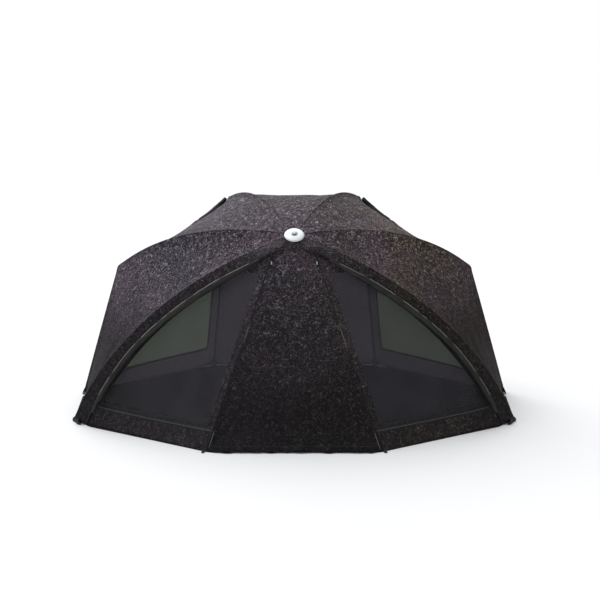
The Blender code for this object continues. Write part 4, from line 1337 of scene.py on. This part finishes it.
def rear_roll():
    """The rear roll's path, from the rear elbow down to the window's outer top."""
    gore, outs = panel("rear")
    cols = slice(REAR_COUNTS[0] // 2, -1)
    slope = np.linspace(REAR_ROLL_SLOPE, 0, len(gore[0, cols]))[:, None]
    low = REAR_WINDOW_ROWS[0]
    line, out = (between(part[MIDDLE, cols], part[low, cols], slope) for part in (gore, outs))
    at = np.linspace(0, 1, 120)
    radii = np.interp(at, *REAR_ROLL_TAPER)
    out = unit(along_line(out, at))
    return smoothed(along_line(line, at) + out * (radii[:, None] + 0.0006)), out, radii


def make_rolled_covers():
    rolls = (("front", 1.0, *front_roll()), ("rear", 2.6, *rear_roll()))
    for name, turn in SIDES:
        for place, seed, path, _, radii in rolls:
            rolled(f"{place}_cover_roll_{name}", path, radii, turn, f"rolled_cover_{place}_{name}", seed)
        for number, where in enumerate(ROLL_TIES, 1):
            for place, _, path, outs, radii in rolls:
                k = int(where * (len(path) - 1))
                tangent = unit(path[k + 1] - path[k - 1])
                out = unit(outs[k] - tangent * (outs[k] @ tangent))
                roll_tie(f"{place}_tie_{name}_{number}", path[k], tangent, radii[k] * 0.86, out, turn)
        cover_edge_tape(name, turn, *rolls[0][2:])


def cover_edge_tape(name, turn, path, outs, radii):
    """The pale edge tape along the top of a rolled front cover, from near the hub, which also serves as a
    painted highlight line along the roll.
    """
    part = slice(8, int(len(path) * PIPING_END))
    tangent = unit(np.gradient(path, axis=0))
    up = unit(np.cross(tangent, outs))
    up *= np.sign(up[:, 2:3])
    around = unit(outs * 0.75 + up * 0.66)
    lines = path + around * (radii[:, None] * 0.99), unit(np.cross(tangent, around)), around
    tape = strap("cover_edge_tape", name, turn, *(points[part] for points in lines))
    fitted(tape)


# Hub, frame and feet


def make_hub():
    """The pale cap, the washer in its dimple and the raised button with its pale face."""
    cap, screw = CAP_R, SCREW_R
    dome = np.linspace(0.93, 0.34, 12)
    low, top = CAP_RISE - 0.0012, CAP_RISE + 0.0003
    hub_piece("hub_cap_dome", "satin_silver", 128, "hub_cap", [
        (0, 0.0006), (cap - 0.0045, 0.0006), (cap - 0.0010, 0.0009), (cap, 0.0018), (cap, 0.0026),
        (cap - 0.0006, 0.0036), (cap - 0.0028, 0.0050),
        *((cap * share, 0.0054 + (CAP_RISE - 0.0060) * (1 - ((share - 0.3) / 0.7) ** 2)) for share in dome),
        (screw + 0.0060, CAP_RISE - 0.0005), (screw + 0.0054, CAP_RISE - 0.0014), (0, CAP_RISE - 0.0014),
    ])
    hub_piece("hub_washer", "satin_silver", 72, None, [
        (0, low), (screw + 0.0046, low), (screw + 0.0050, low + 0.0006), (screw + 0.0044, low + 0.0014),
        (screw + 0.0010, low + 0.0015), (0, low + 0.0015),
    ])
    hub_piece("hub_screw_head", "screw_head", 72, "hub_screw", [
        (0, top), (screw - 0.0006, top), (screw, top + 0.0006), (screw, top + 0.0046),
        (screw - 0.0006, top + 0.0054), (screw - 0.0016, top + 0.0058), (0, top + 0.0058),
    ])
    hub_piece("hub_screw_face", "pale_washer", 72, None, [
        (0, top + 0.0059), (screw - 0.0018, top + 0.0059), (screw - 0.0014, top + 0.0062),
        (screw - 0.0022, top + 0.0068), (screw * 0.5, top + 0.0074), (0, top + 0.0076),
    ])


def hub_piece(name, finish, around, node, profile):
    piece = turned(name, profile, finish, around)
    piece.location = HUB
    piece.rotation_euler = (HUB_TILT, 0.0, 0.0)
    fitted(piece, node)


def make_frame():
    """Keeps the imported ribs, legs, struts and hub parts, and fits grooved shoes under the legs."""
    for node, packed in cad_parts.items():
        tubes = any(word in node for word in ("_rib_", "_leg_", "_strut_"))
        if tubes or node in ("hub_block", "hub_runner"):
            for slot in packed.material_slots:
                slot.material = look("anodised_rib" if tubes else "moulded_nylon")
    for name, _ in SIDES:
        for place in ("front", "side", "rear"):
            middle, height = shoe_place(place, name)
            foot = shoe(f"{place}_foot_shoe_{name}", middle, height)
            fitted(foot, f"{place}_shoe_{name}")


def shoe_place(place, side):
    """The middle of a packed shoe, and its height."""
    low, high = (np.array(corner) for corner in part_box(f"{place}_shoe_{side}"))
    return (low + high) / 2, high[2]


def shoe(name, middle, height):
    """A ribbed rubber shoe with a softened foot and a collar."""
    profile = [(0, 0), (0.0148, 0), (0.0164, 0.0006), (0.0170, 0.0022)]
    for z in (0.0070, 0.0105, 0.0140):
        profile += [(0.0170, z - 0.0008), (0.0163, z - 0.0003), (0.0163, z + 0.0003), (0.0170, z + 0.0008)]
    profile += [(0.0170, 0.0205), (0.0158, 0.0232), (0.0132, 0.0262), (0.0120, height - 0.0016)]
    profile += [(0.0113, height - 0.0003), (0.0100, height), (0, height)]
    obj = turned(name, profile, "moulded_nylon", 48)
    obj.location = (middle[0], middle[1], 0.0)
    return obj


def make_corner_boots():
    """A black moulded boot round each rib's shoe, which closes the notch between two hems."""
    for name, turn in SIDES:
        for place, foot, elbow, before, after, reach, spread in (
            ("front", FRONT_FOOT, FRONT_BOW, DOOR_FOOT, SIDE_FOOT, 1, 1),
            ("side", SIDE_FOOT, SIDE_ELBOW, FRONT_FOOT, REAR_FOOT, 1, 1),
            ("rear", REAR_FOOT, REAR_ELBOW, SIDE_FOOT, mirrored(REAR_FOOT), 2, 2.4),
        ):
            ways = [unit((point - foot)[:2]) for point in (before, after)]
            lean = (elbow - foot)[:2] / elbow[2]
            middle = shoe_place(place, "right")[0][:2]
            size = reach * BOOT_REACH, spread * BOOT_SPREAD
            corner_boot(f"corner_boot_{place}_{name}", turn, foot[:2], middle, lean, ways, *size)


def corner_boot(name, turn, foot, shoe_middle, lean, ways, reach, spread):
    """Follows one hem to the shoe, bends round it and follows the other hem."""
    outs = [np.array([way[1], -way[0]]) for way in ways]
    outs = [out * np.sign(out @ foot) for out in outs]
    first, last = (np.arctan2(out[1], out[0]) for out in outs)
    last = first + np.mod(last - first + pi, TURN) - pi
    angles = np.linspace(first, last, 15)
    bend = shoe_middle + BOOT_R * np.stack([np.cos(angles), np.sin(angles)], axis=1)
    ends = [
        [foot + way * off + out * BOOT_LIFT for off in offs]
        for way, out, offs in zip(ways, outs, ((reach, BOOT_BEND), (BOOT_BEND, reach)))
    ]
    path = np.concatenate([ends[0], bend, ends[1]])
    at = distances(path)
    places = np.linspace(0, at[-1], 57)
    path = smoothed(along_line(path, places, at), 6)
    tops = BOOT_END_H + (BOOT_H - BOOT_END_H) * bell(np.abs(places - at[-1] / 2), spread)
    shares = even(10)
    heights = BOOT_FOOT + (tops[None] - BOOT_FOOT) * shares[:, None]
    shift = np.maximum(heights - 0.010, 0.0)[..., None] * lean
    grid = np.concatenate([path[None] + shift, heights[..., None]], axis=2)
    facing = normals(grid, np.append(sum(outs), 0.0))
    crown = np.sin(pi * shares)[:, None, None] * 0.0012
    boot = sheet_mesh(name, turn(grid + facing * crown), turn(facing), "moulded_nylon", BOOT_T)
    fitted(boot)


def make_groundsheet():
    """The loose floor: a thin sheet with gentle waves and a welt round its edge."""
    outline = np.array(ground_outline())
    closed = np.concatenate([outline, outline[:1]])
    lengths = distances(closed)
    edge = along_line(closed, np.linspace(0, lengths[-1], 241)[:-1], lengths)
    shares = np.concatenate([np.linspace(0.02, 0.97, 42), [0.978, 0.984, 0.992, 0.998]])
    top = edge[None] * shares[:, None, None]
    waves = wandering(top, 4.5, 12.0) * 0.5 + 0.5
    welt = bell(shares - 0.984, 0.006)[:, None] * 0.0006
    calm = smooth_step((1 - shares) / 0.12)[:, None]
    top[..., 2] = GROUND_CLOTH + 0.0014 * waves * calm + welt
    bottom = top[::-1].copy()
    bottom[..., 2] = np.maximum(bottom[..., 2] - GROUND_CLOTH - welt[::-1], 0.0)
    sheet = ring_mesh("floor_groundsheet", np.concatenate([top, bottom]), "groundsheet_cloth")
    fitted(sheet, "groundsheet")


def ground_outline():
    """The feet's outline with each corner cut off, except at the door."""
    feet = [DOOR_FOOT, FRONT_FOOT, SIDE_FOOT, REAR_FOOT]
    ring = feet + [mirrored(p) for p in feet[::-1]]
    outline = []
    for k, point in enumerate(ring):
        before, after = ring[k - 1], ring[(k + 1) % len(ring)]
        if point[1] == DOOR_FOOT[1]:
            outline.append(point)
            continue
        back, on = unit(before - point), unit(after - point)
        reach = CORNER_CUT / np.sqrt((1 + back @ on) / 2)
        outline.extend([point + back * reach, point + on * reach])
    return outline


def make_peg_loops():
    """Short webbing loops for pegs at the door's feet and beside each rib's shoe."""
    for name, turn in SIDES:
        for place, foot, way in (
            ("door", DOOR_FOOT + [0.022, 0.006, 0.0], [0.10, -1.0, 0.0]),
            ("side", SIDE_FOOT + [-0.030, -0.066, 0.0], [1.0, -0.35, 0.0]),
            ("rear", REAR_FOOT + [-0.070, 0.0, 0.0], [0.1, 1.0, 0.0]),
        ):
            fitted(peg_loop(f"{place}_{name}", foot, unit(np.array(way)), turn))


def peg_loop(label, foot, way, turn):
    """A strip of webbing doubled back on itself, with its eye on the ground."""
    side = unit(np.cross(way, [0.0, 0.0, 1.0]))
    bends = np.array([
        (-0.010, 0.0100), (0.0, 0.0070), (0.006, 0.0045), (0.011, 0.0030), (0.016, 0.0024),
        (0.018, 0.0016), (0.016, 0.0008), (0.010, 0.0006), (0.003, 0.0010), (-0.004, 0.0018),
    ])
    line = cubic_along(foot + way * bends[:, :1] + np.array([0.0, 0.0, 1.0]) * bends[:, 1:], even(39))
    out = np.cross(side, unit(np.gradient(line, axis=0)))
    return strap("peg_loop", label, turn, line, side, out)


# Settings


def number(name, about, default, low, high, **kind):
    return FloatProperty(name=name, description=about, default=default, min=low, max=high, **kind)


def length(name, about, default, low, high):
    return number(name, about, default, low, high, unit="LENGTH", precision=4)


def colour(name, about, default):
    kind = {"size": 3, "subtype": "COLOR", "min": 0.0, "max": 1.0}
    return FloatVectorProperty(name=name, description=about, default=default, **kind)


class BrollySizes(bpy.types.PropertyGroup):
    """Sizes of the cloth and the camera."""

    cloth: length("Cloth thickness", "Thickness of the coated canopy cloth", 0.0012, 0.0005, 0.003)
    camera_distance: length("Camera distance", "From the camera to the shelter's middle", 4.8525, 3.0, 9.0)
    camera_height: length("Camera height", "Height of the camera over the ground", 1.457, 0.5, 3.0)
    camera_tilt: number(
        "Camera tilt", "How far the camera looks down", radians(9.6), 0.0, 1.0, subtype="ANGLE"
    )
    lens: number("Lens", "Focal length in millimetres", 48.3, 20.0, 120.0)


class BrollyColours(bpy.types.PropertyGroup):
    """Colours of the cloth, the fittings and the studio."""

    charcoal: colour("Charcoal", "Main ground of the camouflage", (0.0190, 0.0165, 0.0205))
    purple: colour("Purple grey", "Warm patches of the camouflage", (0.0360, 0.0250, 0.0335))
    brown: colour("Warm brown", "Brown patches of the camouflage", (0.0270, 0.0205, 0.0170))
    black: colour("Near black", "Dark blotches and creases", (0.0070, 0.0062, 0.0072))
    dust: colour("Dusty brown", "Light blotches of the camouflage", (0.0450, 0.0400, 0.0410))
    beige: colour("Beige", "Warm squiggles of the camouflage", (0.230, 0.185, 0.155))
    ash: colour("Ash", "Cool squiggles of the camouflage", (0.200, 0.178, 0.212))
    lining: colour("Lining", "Reverse of the rolled storm covers", (0.022, 0.022, 0.021))
    mesh: colour("Netting", "Netting of the front windows", (0.0340, 0.0318, 0.0370))
    rear_mesh: colour("Rear netting", "Netting of the rear windows", (0.0260, 0.0325, 0.0240))
    rear_glow: colour("Rear glow", "Light that comes through the rear netting", (0.50, 0.56, 0.46))
    webbing: colour("Webbing", "Bindings, tapes and peg loops", (0.011, 0.011, 0.012))
    # This pale tape along the rolled covers also stands in for their highlight line, as a painted highlight.
    piping: colour("Edge tape", "Pale edge tape of the storm covers", (0.30, 0.280, 0.235))
    # Lightened, this is also the colour of the painted glints on the door's coils.
    coil: colour("Zip coil", "Worn nylon of the zips", (0.075, 0.075, 0.078))
    nylon: colour("Nylon", "Sliders, shoes and hub parts", (0.013, 0.013, 0.014))
    silver: colour("Silver", "Painted hub cap", (0.43, 0.485, 0.485))
    screw: colour("Screw", "Screw head of the hub", (0.030, 0.030, 0.033))
    rib: colour("Ribs", "Anodised tubes of the frame", (0.42, 0.42, 0.43))
    floor_cloth: colour("Groundsheet", "Heavy floor cloth", (0.018, 0.018, 0.019))
    studio: colour("Studio floor", "Plain floor under the shelter", (0.85, 0.85, 0.85))
    mesh_cover: number("Netting cover", "Share of the view that the front netting hides", 0.553, 0.2, 1.0)
    rear_mesh_cover: number("Rear cover", "Share that the closer rear netting hides", 0.78, 0.2, 1.0)


# Stage


def lay_floor():
    mesh = bpy.data.meshes.new("studio_floor")
    bm = bmesh.new()
    bmesh.ops.create_grid(bm, x_segments=1, y_segments=1, size=FLOOR_SIZE)
    bm.to_mesh(mesh)
    bm.free()
    mesh.materials.append(look("studio_floor"))
    add_object("studio_floor", mesh, (0.0, 0.0, -FLOOR_DROP))


def hang_sky():
    """One very wide, soft light from overhead, like an overcast sky."""
    light = bpy.data.lights.new("overhead", "SUN")
    light.angle = SKY_ANGLE
    light.energy = SKY_LIGHT
    add_object("overhead", light, rotation=SKY_TILT)


def set_world(scene):
    """Soft air round the shelter, and a white backdrop that only the camera sees."""
    scene.world = bpy.data.worlds.new("studio_air")
    graph = Graph("studio_air", scene.world)
    shades = {"Color": (*WORLD_TINT, 1.0), "Strength": WORLD_LIGHT}
    air = graph.node("ShaderNodeBackground", {}, shades)
    backdrop = graph.node("ShaderNodeBackground", {}, {"Color": (1.0, 1.0, 1.0, 1.0)})
    seen = graph.node("ShaderNodeLightPath", output="Is Camera Ray")
    graph.show(graph.node("ShaderNodeMixShader", {}, {0: seen, 1: air, 2: backdrop}), "World Output")
    scene.view_settings.view_transform = "Standard"


def place_camera(scene):
    sizes = scene.brolly_sizes
    camera = bpy.data.cameras.new("photo_camera")
    camera.lens = sizes.lens
    camera.sensor_width = SENSOR_W
    camera.shift_x = CAMERA_SHIFT
    place = (0.0, -sizes.camera_distance, sizes.camera_height)
    scene.camera = add_object("photo_camera", camera, place, (radians(90.0) - sizes.camera_tilt, 0.0, 0.0))


# Operators


class BROLLY_OT_canopy(bpy.types.Operator):
    """Lay the five stretched gores over the ribs"""

    bl_idname = "brolly.canopy"
    bl_label = "Canopy gores"

    def execute(self, context):
        make_canopy()
        return {"FINISHED"}


class BROLLY_OT_seams(bpy.types.Operator):
    """Fell the seams over the side and rear ribs"""

    bl_idname = "brolly.seams"
    bl_label = "Canopy seams"

    def execute(self, context):
        make_seams()
        return {"FINISHED"}


class BROLLY_OT_valance(bpy.types.Operator):
    """Sew the dark band along the front rim"""

    bl_idname = "brolly.valance"
    bl_label = "Rim valance"

    def execute(self, context):
        make_valance()
        return {"FINISHED"}


class BROLLY_OT_wings(bpy.types.Operator):
    """Fit both front wings with their bound windows and skirt zips"""

    bl_idname = "brolly.wings"
    bl_label = "Front wings"

    def execute(self, context):
        make_wings()
        return {"FINISHED"}


class BROLLY_OT_windows(bpy.types.Operator):
    """Set the netting in the front and rear windows"""

    bl_idname = "brolly.windows"
    bl_label = "Mesh windows"

    def execute(self, context):
        make_windows()
        return {"FINISHED"}


class BROLLY_OT_door(bpy.types.Operator):
    """Hang the door panel between its zips"""

    bl_idname = "brolly.door"
    bl_label = "Door panel"

    def execute(self, context):
        make_door()
        return {"FINISHED"}


class BROLLY_OT_zips(bpy.types.Operator):
    """Run the door zips and hang their pulls"""

    bl_idname = "brolly.zips"
    bl_label = "Zips and pulls"

    def execute(self, context):
        make_zips()
        return {"FINISHED"}


class BROLLY_OT_rolled_covers(bpy.types.Operator):
    """Roll the storm covers up over the windows and tie them"""

    bl_idname = "brolly.rolled_covers"
    bl_label = "Rolled storm covers"

    def execute(self, context):
        make_rolled_covers()
        return {"FINISHED"}


class BROLLY_OT_hub(bpy.types.Operator):
    """Fit the silver cap, its washer and its screw"""

    bl_idname = "brolly.hub"
    bl_label = "Hub cap"

    def execute(self, context):
        make_hub()
        return {"FINISHED"}


class BROLLY_OT_frame(bpy.types.Operator):
    """Finish the ribs, legs and struts, and fit the shoes"""

    bl_idname = "brolly.frame"
    bl_label = "Ribs and shoes"

    def execute(self, context):
        make_frame()
        return {"FINISHED"}


class BROLLY_OT_groundsheet(bpy.types.Operator):
    """Lay the groundsheet between the feet"""

    bl_idname = "brolly.groundsheet"
    bl_label = "Groundsheet"

    def execute(self, context):
        make_groundsheet()
        return {"FINISHED"}


class BROLLY_OT_peg_loops(bpy.types.Operator):
    """Sew the peg loops to the hem"""

    bl_idname = "brolly.peg_loops"
    bl_label = "Peg loops"

    def execute(self, context):
        make_peg_loops()
        return {"FINISHED"}


class BROLLY_OT_corner_boots(bpy.types.Operator):
    """Fit a moulded boot round each shoe"""

    bl_idname = "brolly.corner_boots"
    bl_label = "Corner boots"

    def execute(self, context):
        make_corner_boots()
        return {"FINISHED"}


class BROLLY_OT_stage(bpy.types.Operator):
    """Set the plain floor, the soft lights and the camera"""

    bl_idname = "brolly.stage"
    bl_label = "Studio stage"

    def execute(self, context):
        lay_floor()
        hang_sky()
        set_world(context.scene)
        place_camera(context.scene)
        return {"FINISHED"}


MAKERS = (
    BROLLY_OT_canopy,
    BROLLY_OT_seams,
    BROLLY_OT_valance,
    BROLLY_OT_wings,
    BROLLY_OT_windows,
    BROLLY_OT_door,
    BROLLY_OT_zips,
    BROLLY_OT_rolled_covers,
    BROLLY_OT_hub,
    BROLLY_OT_frame,
    BROLLY_OT_groundsheet,
    BROLLY_OT_peg_loops,
    BROLLY_OT_corner_boots,
    BROLLY_OT_stage,
)


class BROLLY_PT_panel(bpy.types.Panel):
    """Lists the shelter's makers, sizes and colours"""

    bl_idname = "BROLLY_PT_panel"
    bl_label = "Brolly shelter"
    bl_space_type = "VIEW_3D"
    bl_region_type = "UI"
    bl_category = "Brolly"

    def draw(self, context):
        for maker in MAKERS:
            self.layout.operator(maker.bl_idname)
        for group in (context.scene.brolly_sizes, context.scene.brolly_colours):
            column = self.layout.column()
            for key in group.bl_rna.properties.keys():
                if key not in ("rna_type", "name"):
                    column.prop(group, key)


CLASSES = (BrollySizes, BrollyColours, *MAKERS, BROLLY_PT_panel)


def register():
    for cls in CLASSES:
        bpy.utils.register_class(cls)
    bpy.types.Scene.brolly_sizes = PointerProperty(type=BrollySizes)
    bpy.types.Scene.brolly_colours = PointerProperty(type=BrollyColours)


def unregister():
    del bpy.types.Scene.brolly_colours
    del bpy.types.Scene.brolly_sizes
    for cls in reversed(CLASSES):
        bpy.utils.unregister_class(cls)


def main():
    register()
    for maker in MAKERS:
        group, name = maker.bl_idname.split(".")
        getattr(getattr(bpy.ops, group), name)()


if __name__ == "__main__":
    main()
